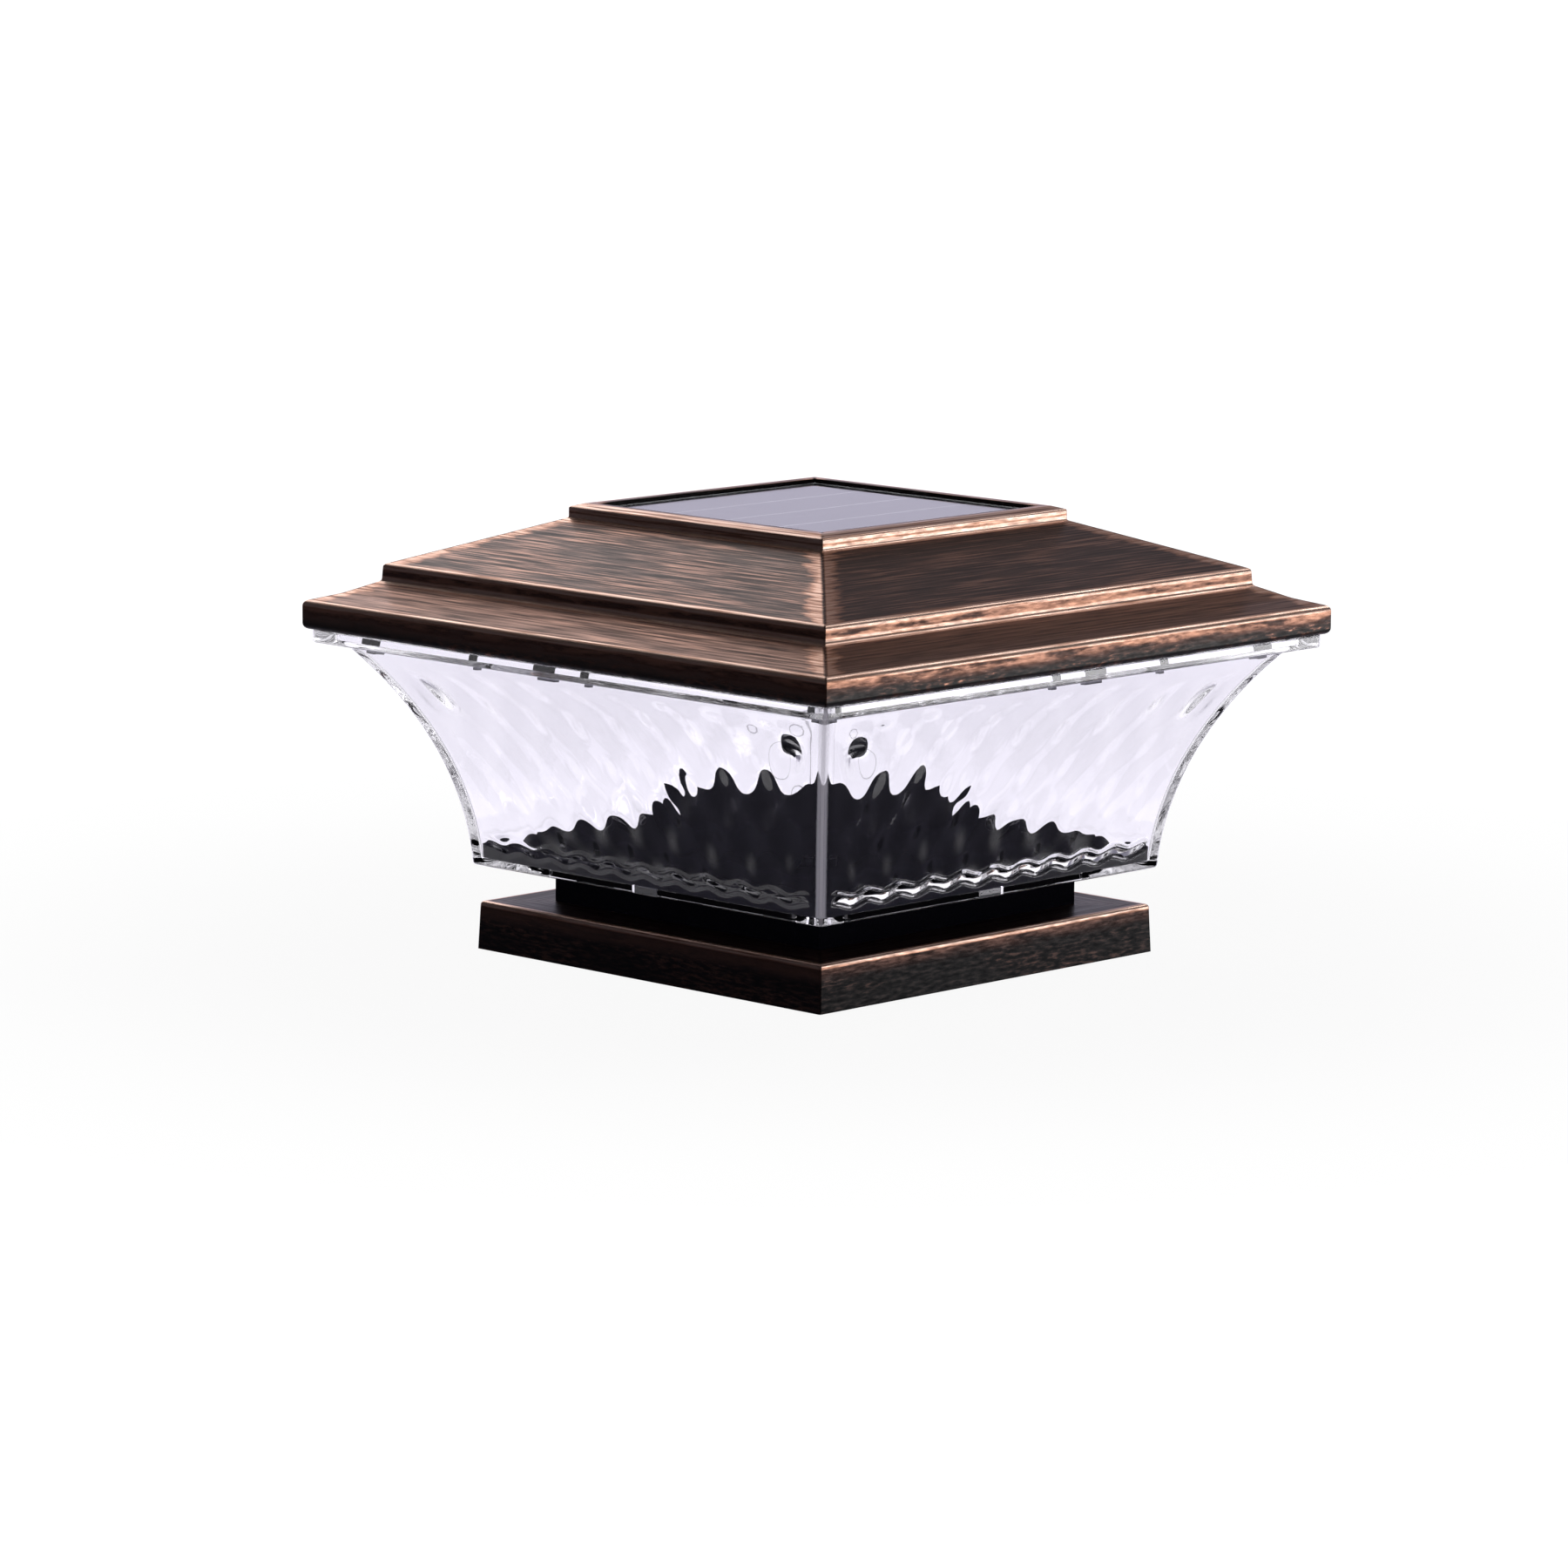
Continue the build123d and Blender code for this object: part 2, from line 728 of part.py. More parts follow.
# Battery door: a plate with a barrel whose stubs turn in the bay's end walls
door_front = bay_y - bay_width / 2 + door_clearance
door_back = hinge_y + hinge_tail
door_length = bay_length - 2 * door_clearance
with BuildPart() as battery_door:
    with BuildSketch(Plane.XY.offset(bay_bottom)):
        with Locations((0, (door_front + door_back) / 2)):
            Rectangle(door_length, door_back - door_front)
    extrude(amount=door_thickness)
    with Locations((0, hinge_y, hinge_z)):
        Cylinder(barrel_radius, door_length, rotation=(0, 90, 0))
        Cylinder(stub_radius, bay_length + 2 * stub_length, rotation=(0, 90, 0))
    with BuildSketch(Plane.XY.offset(bay_bottom)):
        with Locations((0, door_front + door_grip_inset)):
            SlotOverall(door_grip_width, door_grip_reach)
    extrude(amount=door_grip_depth, mode=Mode.SUBTRACT)
battery_door.part.label = "battery_door"
export_step(battery_door.part, "parts/battery_door.step")

# Battery cell with its nub, contact plates at both ends and the coil spring behind it
with BuildPart() as battery_cell:
    with BuildSketch(Plane.YZ.offset(cell_minus_x)):
        with Locations((bay_y, cell_z)):
            Circle(cell_diameter / 2)
    extrude(amount=cell_length - nub_length)
    with BuildSketch(Plane.YZ.offset(cell_plus_x - nub_length)):
        with Locations((bay_y, cell_z)):
            Circle(nub_radius)
    extrude(amount=nub_length)
battery_cell.part.label = "battery_cell"
export_step(battery_cell.part, "parts/battery_cell.step")

contact_bottom = cell_z - contact_width / 2
contact_top = bay_top + contact_tail
with BuildPart() as battery_plus_contact:
    with BuildSketch(Plane.XZ.offset(-bay_y)):
        with Locations((cell_plus_x + contact_thickness / 2, (contact_bottom + contact_top) / 2)):
            Rectangle(contact_thickness, contact_top - contact_bottom)
    extrude(amount=contact_width / 2, both=True)
battery_plus_contact.part.label = "battery_plus_contact"
export_step(battery_plus_contact.part, "parts/battery_plus_contact.step")

minus_contact_x = -bay_half_length + contact_thickness / 2
with BuildPart() as battery_minus_contact:
    with BuildSketch(Plane.XZ.offset(-bay_y)):
        with Locations((minus_contact_x, (contact_bottom + contact_top) / 2)):
            Rectangle(contact_thickness, contact_top - contact_bottom)
    extrude(amount=contact_width / 2, both=True)
battery_minus_contact.part.label = "battery_minus_contact"
export_step(battery_minus_contact.part, "parts/battery_minus_contact.step")

spring_start = -bay_half_length + contact_thickness + spring_wire / 2
coil_height = spring_length - spring_wire
coil_pitch = coil_height / spring_turns
with BuildPart() as battery_spring:
    with BuildLine() as coil:
        Helix(
            coil_pitch,
            coil_height,
            spring_radius,
            center=(spring_start, bay_y, cell_z),
            direction=(1, 0, 0),
        )
    with BuildSketch(Plane(origin=coil.line @ 0, z_dir=coil.line % 0)):
        Circle(spring_wire / 2)
    sweep(path=coil.line, is_frenet=True)
print("spring turns clear each other by", coil_pitch - spring_wire)
battery_spring.part.label = "battery_spring"
export_step(battery_spring.part, "parts/battery_spring.step")

# Circuit board on its posts, with what is soldered to it
with BuildPart() as circuit_board:
    with BuildSketch(Plane.XY.offset(board_bottom)):
        with Locations((0, board_y)):
            Rectangle(board_length, board_width)
        with Locations(*board_screw_places):
            Circle(board_screw_radius + screw_hole_clearance, mode=Mode.SUBTRACT)
    extrude(amount=board_thickness)
circuit_board.part.label = "circuit_board"
export_step(circuit_board.part, "parts/circuit_board.step")

board_screws = pan_head_screws(
    board_screw_places,
    board_top,
    board_thickness + board_lift - screw_hole_clearance,
    board_screw_radius,
    board_screw_head_radius,
    board_screw_head_height,
)
board_screws.part.label = "board_screws"
export_step(board_screws.part, "parts/board_screws.step")

chip_place = (chip_x, board_y + chip_setback)
with BuildPart() as driver_chip:
    with BuildSketch(Plane.XY.offset(board_top)):
        with Locations(chip_place):
            Rectangle(chip_length, chip_width)
    extrude(amount=chip_height)
driver_chip.part.label = "driver_chip"
export_step(driver_chip.part, "parts/driver_chip.step")

inductor_place = (inductor_x, board_y + inductor_setback)
with BuildPart() as inductor:
    with BuildSketch(Plane.XY.offset(board_top)):
        with Locations(inductor_place):
            Circle(inductor_radius)
    extrude(amount=inductor_height)
inductor.part.label = "inductor"
export_step(inductor.part, "parts/inductor.step")

with BuildPart() as led_emitter:
    with BuildSketch(Plane.XY.offset(board_bottom)):
        Rectangle(emitter_side, emitter_side)
    extrude(amount=-emitter_height)
led_emitter.part.label = "led_emitter"
export_step(led_emitter.part, "parts/led_emitter.step")

# Dome over the emitter: a hollow cap, its flange on the plate's upper face
dome_inner = dome_radius - dome_wall
dome_bottom = ceiling_bottom - dome_drop
flange_top = ceiling_top + dome_flange_thickness
with BuildPart() as led_dome:
    with BuildSketch(Plane.XZ):
        with BuildLine():
            EllipticalCenterArc((0, ceiling_bottom), dome_radius, dome_drop, 270, arc_size=90)
            Polyline(
                (dome_radius, ceiling_bottom),
                (dome_radius, ceiling_top),
                (dome_radius + dome_flange, ceiling_top),
                (dome_radius + dome_flange, flange_top),
                (dome_inner, flange_top),
                (dome_inner, ceiling_bottom),
            )
            EllipticalCenterArc((0, ceiling_bottom), dome_inner, dome_drop - dome_wall, 270, arc_size=90)
            Line((0, dome_bottom + dome_wall), (0, dome_bottom))
        make_face()
    revolve(axis=Axis.Z)
led_dome.part.label = "led_dome"
export_step(led_dome.part, "parts/led_dome.step")

# Slide switch: its body hangs from the board, and the knob's foot runs in a groove in it
switch_bottom = board_bottom - switch_height
with BuildPart() as switch_body:
    with BuildSketch(Plane.XY.offset(board_bottom)):
        with Locations((switch_x, switch_y)):
            Rectangle(switch_length, switch_width)
    extrude(amount=-switch_height)
    with BuildSketch(Plane.XY.offset(switch_bottom)):
        with Locations((switch_x, switch_y)):
            Rectangle(slot_length, slot_width)
    extrude(amount=knob_engagement + knob_clearance, mode=Mode.SUBTRACT)
switch_body.part.label = "switch_body"
export_step(switch_body.part, "parts/switch_body.step")

knob_x = switch_x - knob_travel / 2
knob_top = switch_bottom + knob_engagement
with BuildPart() as switch_knob:
    with BuildSketch(Plane.XY.offset(knob_top)):
        with Locations((knob_x, switch_y)):
            Rectangle(knob_length, knob_width)
    extrude(amount=-(knob_top - ceiling_bottom + knob_proud))
switch_knob.part.label = "switch_knob"
export_step(switch_knob.part, "parts/switch_knob.step")

# Leads: panel to board through the seat's hole, battery contacts to board over the bay's wall
panel_lead_mid = (seat_bottom + board_top) / 2
panel_lead_foot_y = board_y - panel_lead_setback


def panel_lead_route(side):
    return [
        (side * lead_gap, board_y, panel_board_bottom),
        (side * lead_gap, board_y, panel_lead_mid + lead_gap),
        (side * panel_lead_spread, panel_lead_foot_y, panel_lead_mid - lead_gap),
        (side * panel_lead_spread, panel_lead_foot_y, board_top),
    ]


panel_lead_red = lead(panel_lead_route(1))
panel_lead_red.part.label = "panel_lead_red"
export_step(panel_lead_red.part, "parts/panel_lead_red.step")

panel_lead_black = lead(panel_lead_route(-1))
panel_lead_black.part.label = "panel_lead_black"
export_step(panel_lead_black.part, "parts/panel_lead_black.step")

battery_lead_x = bay_half_length - contact_thickness - lead_radius
battery_lead_z = bay_top + 2 * lead_radius
battery_lead_foot = (board_length / 2 - 2 * lead_radius, board_y + battery_lead_setback)


def battery_lead_route(side):
    foot_x, foot_y = battery_lead_foot
    return [
        (side * battery_lead_x, bay_y - contact_width / 2 + lead_radius, battery_lead_z),
        (side * battery_lead_x, bay_front - board_gap / 2, battery_lead_z),
        (side * foot_x, foot_y, battery_lead_z),
        (side * foot_x, foot_y, board_top),
    ]


battery_lead_red = lead(battery_lead_route(1))
battery_lead_red.part.label = "battery_lead_red"
export_step(battery_lead_red.part, "parts/battery_lead_red.step")

battery_lead_black = lead(battery_lead_route(-1))
battery_lead_black.part.label = "battery_lead_black"
export_step(battery_lead_black.part, "parts/battery_lead_black.step")
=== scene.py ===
import math
import random

import bmesh
import bpy
from mathutils import Matrix, Vector


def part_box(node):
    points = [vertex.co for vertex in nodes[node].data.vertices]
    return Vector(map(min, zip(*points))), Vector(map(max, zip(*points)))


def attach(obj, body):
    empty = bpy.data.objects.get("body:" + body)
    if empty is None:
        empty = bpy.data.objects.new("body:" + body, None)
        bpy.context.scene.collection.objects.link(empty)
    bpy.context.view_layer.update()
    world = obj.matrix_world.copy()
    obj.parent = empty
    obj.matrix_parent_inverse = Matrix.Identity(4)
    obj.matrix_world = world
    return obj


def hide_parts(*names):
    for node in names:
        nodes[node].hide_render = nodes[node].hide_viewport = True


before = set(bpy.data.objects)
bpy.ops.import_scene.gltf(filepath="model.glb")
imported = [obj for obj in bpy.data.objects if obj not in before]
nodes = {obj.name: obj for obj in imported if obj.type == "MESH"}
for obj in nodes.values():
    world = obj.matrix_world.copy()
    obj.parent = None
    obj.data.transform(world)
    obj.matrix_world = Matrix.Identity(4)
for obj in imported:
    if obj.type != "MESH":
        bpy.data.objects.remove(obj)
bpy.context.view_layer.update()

# A square solar light for a post: rubbed copper roof and base, clear rippled lens between them.
# Everything is in metres, in the CAD model's own frame: +Z up, -Y front.

MM = 0.001

# Sizes read from the CAD model
roof_low, roof_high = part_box("roof_shell")
lens_low, lens_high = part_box("lens")
base_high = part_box("base_sleeve")[1]
cover_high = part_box("panel_cover")[1]
gasket_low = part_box("panel_gasket")[0]
dome_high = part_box("led_dome")[1]
ceiling_screws_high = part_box("ceiling_screws")[1]

# How far a cutting tool reaches past the face it cuts
cut_past = 1.0 * MM

# Screws
screw_head_radius = 2.75 * MM
screw_hole_radius = 1.6 * MM
base_screw_at = 28.0 * MM
ceiling_screw_at = ceiling_screws_high.x - screw_head_radius

# Roof
roof_half = roof_high.x
eave_bottom = roof_low.z
crest = roof_high.z
roof_wall = 2.2 * MM
eave_height = 5.7 * MM
eave_edge_radius = 1.2 * MM
cove_run = 11.4 * MM
cove_rise = 4.3 * MM
cove_sag = 0.45 * MM
cove_radius = 9.0 * MM
step_height = 3.3 * MM
step_draft = 0.2 * MM
step_edge_radius = 0.8 * MM
slope_rise = 9.8 * MM
frame_bevel = 2.3 * MM
frame_bevel_rise = 0.7 * MM
frame_edge_radius = 0.45 * MM
crest_width = 2.0 * MM
panel_clearance = 0.5 * MM
seat_thickness = 2.0 * MM
lead_hole_radius = 4.0 * MM
lead_hole_y = -8.95 * MM
roof_boss_radius = 3.2 * MM
roof_boss_bore = 1.45 * MM
roof_boss_depth = 7.0 * MM
roof_boss_bite = 0.8 * MM
dome_flange_thickness = 1.2 * MM
hip_radius = 0.35 * MM

eave_top = eave_bottom + eave_height
cove_top = eave_top + cove_rise
step_top = cove_top + step_height
slope_top = step_top + slope_rise
frame_top = crest - frame_bevel_rise
step_half = roof_half - cove_run
step_top_half = step_half - step_draft
recess_half = cover_high.x + panel_clearance
crest_half = recess_half + crest_width
frame_half = crest_half + frame_bevel
seat_top = gasket_low.z
seat_bottom = seat_top - seat_thickness
ceiling_top = dome_high.z - dome_flange_thickness

# Base
base_wall = 2.8 * MM
base_draft = 0.4 * MM
base_edge_radius = 0.7 * MM
ledge_thickness = 2.5 * MM
base_top_strip = 1.0 * MM
base_corner_radius = 0.4 * MM
base_half = base_high.x
base_top_half = base_half - base_draft
socket_half = base_half - base_wall
base_top = base_high.z
ledge_bottom = base_top - ledge_thickness

# Lens
lens_bottom = lens_low.z
rim_half = lens_high.x
spigot_top = lens_high.z
lens_wall = 1.8 * MM
lens_floor = 1.6 * MM
lens_bottom_half = 49.8 * MM
lens_mouth_half = 68.4 * MM
lens_height = 45.6 * MM
lens_sagitta = 4.1 * MM
rim_thickness = 2.7 * MM
rim_edge_radius = 0.4 * MM
rim_step = 0.8 * MM
floor_opening_half = 35.0 * MM
tray_slot_at = 46.91 * MM
tray_slot_width = 7.1 * MM
tray_slot_depth = 2.0 * MM
tray_slot_past = 0.5 * MM
lens_corner_radius = 1.4 * MM
lens_foot_radius = 0.6 * MM
lens_wall_levels = 28
lens_spans = 132
lens_edge_steps = 3
lens_sharp_angle = 50
rim_bottom = lens_bottom + lens_height
rim_top = rim_bottom + rim_thickness
lens_floor_top = lens_bottom + lens_floor

# Ripples moulded into the inside of the lens: long bumps, each row half a bump along
ripple_pitch = 12.5 * MM
ripple_row_pitch = 17.4 * MM
ripple_columns = 9.2
ripple_depth = 0.2 * MM
ripple_mouth_depth = 0.32 * MM
ripple_deepens = (47.0 * MM, 10.0 * MM)
ripple_foot = 26.0 * MM
ripple_bottom = 22.3 * MM
ripple_top = 61.0 * MM
ripple_top_fade = 2.5 * MM
ripple_bottom_fade = ripple_top_fade / 3
ripple_grain = 0.9 * MM

# The bumps stray from their rows and columns in slow waves, which start at a drawn point
ripple_seed = 7
ripple_wander = 1.2 * MM
drift_up, drift_along = 6.0 * MM, 17.0 * MM
lift_short, lift_long = 9.0 * MM, 23.0 * MM

# Where the ripples and the bead die out at the corners: shares of half a side
ripple_corner = (0.01, 0.11)
bead_corner = (0.01, 0.05)

# Beside each corner the topmost bump swells into a drop
drop_from_corner = 7.2 * MM
drop_height = 52.8 * MM
drop_width = 3.3 * MM
drop_length = 4.0 * MM
drop_depth = 0.6 * MM

# The ripples end above the floor in a scalloped bead, fuller on two sides of the mould
bead_height = 23.0 * MM
bead_wave = 0.5 * MM
bead_pitch = 11.0 * MM
bead_depth = 0.55 * MM
bead_drop = 1.7 * MM
bead_fade = 0.8 * MM
bead_grain = 0.25 * MM
bead_reach = 25.0 * MM
bead_shares = (0.35, 1.0, 0.35, 1.0)

# The lens wall is an arc in side view, bowed in from the straight line between its two ends
flare_run = lens_mouth_half - lens_bottom_half
flare_chord = math.hypot(flare_run, lens_height)
flare_radius = flare_chord**2 / (8 * lens_sagitta) + lens_sagitta / 2
flare_reach = flare_radius - lens_sagitta
flare_centre_half = (lens_bottom_half + lens_mouth_half) / 2 + flare_reach * lens_height / flare_chord
flare_centre_z = (lens_bottom + rim_bottom) / 2 - flare_reach * flare_run / flare_chord


def lens_half(z, inset=0.0):
    """Half width of the lens wall at a height, on the surface that lies inset from the outside."""
    return flare_centre_half - math.sqrt((flare_radius + inset) ** 2 - (z - flare_centre_z) ** 2)


# Shapes


def rounded(points, radii, steps=5):
    """An outline through the points, with an arc in place of each corner that has a radius."""
    outline = [Vector(points[0])]
    for before, corner, after, radius in zip(points, points[1:], points[2:], radii):
        corner = Vector(corner)
        if radius == 0:
            outline.append(corner)
            continue
        back = (Vector(before) - corner).normalized()
        ahead = (Vector(after) - corner).normalized()
        half_angle = back.angle(ahead) / 2
        reach = radius / math.tan(half_angle)
        centre = corner + (back + ahead).normalized() * radius / math.sin(half_angle)
        start = corner + back * reach - centre
        end = corner + ahead * reach - centre
        sweep = start.angle(end)
        for step in range(steps + 1):
            done = sweep * step / steps
            swing = (start * math.sin(sweep - done) + end * math.sin(done)) / math.sin(sweep)
            outline.append(centre + swing)
    outline.append(Vector(points[-1]))
    return outline


def spread(start, end, count):
    """Evenly spaced numbers from start to end."""
    return [start + (end - start) * step / count for step in range(count + 1)]


# The four sides: the way each faces, and the way along it
SIDES = [
    (Vector((0, -1)), Vector((1, 0))),
    (Vector((1, 0)), Vector((0, 1))),
    (Vector((0, 1)), Vector((-1, 0))),
    (Vector((-1, 0)), Vector((0, -1))),
]


def square_ring(half, z, corner_radius, spans, corner_steps, inset=None):
    """One level of a square body: each side's run, then the arc round to the next side."""
    ring = []
    run = half - corner_radius
    for side, (outward, along) in enumerate(SIDES):
        for share in spread(-1, 1, spans):
            reach = half - (inset(side, share, z) if inset else 0)
            ring.append(outward * reach + along * run * share)
        for step in range(1, corner_steps):
            turn = math.pi / 2 * step / corner_steps
            swing = outward * math.cos(turn) + along * math.sin(turn)
            ring.append((outward + along) * run + swing * corner_radius)
    return [(x, y, z) for x, y in ring]


def new_piece(name, shape):
    """A piece in the scene with the shape as its mesh."""
    mesh = bpy.data.meshes.new(name)
    shape.to_mesh(mesh)
    shape.free()
    piece = bpy.data.objects.new(name, mesh)
    bpy.context.scene.collection.objects.link(piece)
    return piece


def square_body(name, levels, corner_radius, spans=8, corner_steps=4, ring_closed=False, insets=None):
    """A square body lofted through levels of (half width, height), capped or closed on itself."""
    shape = bmesh.new()
    rings = []
    for index, (half, z) in enumerate(levels):
        inset = insets.get(index) if insets else None
        ring = square_ring(half, z, corner_radius, spans, corner_steps, inset)
        rings.append([shape.verts.new(place) for place in ring])
    pairs = list(zip(rings, rings[1:]))
    if ring_closed:
        pairs.append((rings[-1], rings[0]))
    else:
        shape.faces.new(rings[0])
        shape.faces.new(rings[-1])
    for lower, upper in pairs:
        for at in range(len(lower)):
            after = (at + 1) % len(lower)
            shape.faces.new((lower[at], lower[after], upper[after], upper[at]))
    bmesh.ops.recalc_face_normals(shape, faces=shape.faces)
    return new_piece(name, shape)


def turned_pegs(name, places, outline, sides=28):
    """A solid turned round an upright axis at each place, from radii and heights going up."""
    shape = bmesh.new()
    for x, y in places:
        rings = []
        for radius, z in outline:
            turns = [2 * math.pi * side / sides for side in range(sides)]
            ring = [(x + radius * math.cos(turn), y + radius * math.sin(turn), z) for turn in turns]
            rings.append([shape.verts.new(place) for place in ring])
        shape.faces.new(rings[0])
        shape.faces.new(rings[-1])
        for lower, upper in zip(rings, rings[1:]):
            for at in range(sides):
                after = (at + 1) % sides
                shape.faces.new((lower[at], lower[after], upper[after], upper[at]))
    bmesh.ops.recalc_face_normals(shape, faces=shape.faces)
    return new_piece(name, shape)


def slot_blocks(name, at, width, depth, bottom, top):
    """One upright block in the middle of each side."""
    shape = bmesh.new()
    for outward, along in SIDES:
        corners = []
        for z in (bottom, top):
            for out, sideways in ((-1, -1), (1, -1), (1, 1), (-1, 1)):
                place = outward * (at + out * depth / 2) + along * sideways * width / 2
                corners.append(shape.verts.new((place.x, place.y, z)))
        low, high = corners[:4], corners[4:]
        shape.faces.new(low)
        shape.faces.new(high)
        for first in range(4):
            second = (first + 1) % 4
            shape.faces.new((low[first], low[second], high[second], high[first]))
    bmesh.ops.recalc_face_normals(shape, faces=shape.faces)
    return new_piece(name, shape)


def shape_with(piece, tool, operation):
    """Cut the tool out of the piece, or join it on, and drop the tool."""
    step = piece.modifiers.new("shape", "BOOLEAN")
    step.object = tool
    step.operation = operation
    step.solver = "EXACT"
    graph = bpy.context.evaluated_depsgraph_get()
    shaped = bpy.data.meshes.new_from_object(piece.evaluated_get(graph))
    piece.modifiers.clear()
    piece.data = shaped
    bpy.data.objects.remove(tool)


def smooth(piece, sharp_angle=35):
    """Smooth shading with crisp edges, flat faces kept flat beside their rounded edges."""
    piece.data.shade_smooth()
    piece.data.set_sharp_from_angle(angle=math.radians(sharp_angle))
    weigh = piece.modifiers.new("flat faces", "WEIGHTED_NORMAL")
    weigh.keep_sharp = True


def corner_places(at):
    """Four places towards the corners."""
    return [(x, y) for x in (-at, at) for y in (-at, at)]


def side_places(at):
    """Four places towards the middles of the sides."""
    return [(at, 0), (-at, 0), (0, at), (0, -at)]


# Roof shell: the skin's underside first, then the eave, cove, step, slope and panel frame
cove_pitch = cove_rise / cove_run
slope_pitch = slope_rise / (step_top_half - frame_half)
slope_skin = roof_wall * math.hypot(1, slope_pitch)
roof_inner_half = roof_half - roof_wall
step_inner_half = step_half - roof_wall


def under_cove(half):
    """Height of the skin's underside below the cove, at a half width."""
    return eave_top + (roof_half - half) * cove_pitch - cove_sag - roof_wall * math.hypot(1, cove_pitch)


def under_slope(half):
    """Height of the skin's underside below the slope, at a half width."""
    return step_top + (step_top_half - half) * slope_pitch - slope_skin


def make_roof_shell():
    seat_reach = step_top_half - (seat_bottom - step_top + slope_skin) / slope_pitch
    underside = [
        (seat_reach, seat_bottom),
        (step_inner_half, under_slope(step_inner_half)),
        (step_inner_half, under_cove(step_inner_half)),
        (roof_inner_half, under_cove(roof_inner_half)),
    ]
    outside = rounded(
        [
            (roof_inner_half, eave_bottom),
            (roof_half, eave_bottom),
            (roof_half, eave_top),
            (roof_half - cove_run / 2, eave_top + cove_rise / 2 - cove_sag),
            (step_half, cove_top),
            (step_top_half, step_top),
            (frame_half, slope_top),
            (frame_half, frame_top),
            (crest_half, crest),
            (recess_half, crest),
            (recess_half, seat_top),
        ],
        [
            eave_edge_radius,
            eave_edge_radius,
            cove_radius,
            step_edge_radius,
            step_edge_radius,
            frame_edge_radius,
            frame_edge_radius,
            frame_edge_radius,
            frame_edge_radius / 2,
        ],
    )
    roof = square_body("roof_shell_finished", underside + outside, hip_radius)
    boss_places = corner_places(ceiling_screw_at)
    boss_top = under_slope(ceiling_screw_at) + roof_boss_bite
    bosses = turned_pegs(
        "bosses", boss_places, [(roof_boss_radius, ceiling_top), (roof_boss_radius, boss_top)]
    )
    shape_with(roof, bosses, "UNION")
    bores = turned_pegs(
        "bores",
        boss_places,
        [(roof_boss_bore, ceiling_top - cut_past), (roof_boss_bore, ceiling_top + roof_boss_depth)],
    )
    shape_with(roof, bores, "DIFFERENCE")
    lead_hole = turned_pegs(
        "lead hole",
        [(0, lead_hole_y)],
        [(lead_hole_radius, seat_bottom - cut_past), (lead_hole_radius, seat_top + cut_past)],
    )
    shape_with(roof, lead_hole, "DIFFERENCE")
    smooth(roof)
    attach(roof, "roof")
    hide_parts("roof_shell")
    return roof


def make_base_sleeve():
    levels = [(socket_half, ledge_bottom), (socket_half, 0)]
    levels += rounded(
        [(base_half, 0), (base_top_half, base_top), (base_top_half - base_top_strip, base_top)],
        [base_edge_radius],
    )
    base = square_body("base_sleeve_finished", levels, base_corner_radius)
    sink_depth = screw_head_radius - screw_hole_radius
    holes = turned_pegs(
        "screw holes",
        side_places(base_screw_at),
        [
            (screw_head_radius, ledge_bottom - cut_past),
            (screw_head_radius, ledge_bottom),
            (screw_hole_radius, ledge_bottom + sink_depth),
            (screw_hole_radius, base_top + cut_past),
        ],
    )
    shape_with(base, holes, "DIFFERENCE")
    smooth(base)
    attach(base, "base")
    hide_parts("base_sleeve")
    return base


# Lens


def fade(value, start, width):
    """0 below start, rising smoothly to 1 over the width."""
    share = min(max((value - start) / width, 0), 1)
    return share * share * (3 - 2 * share)


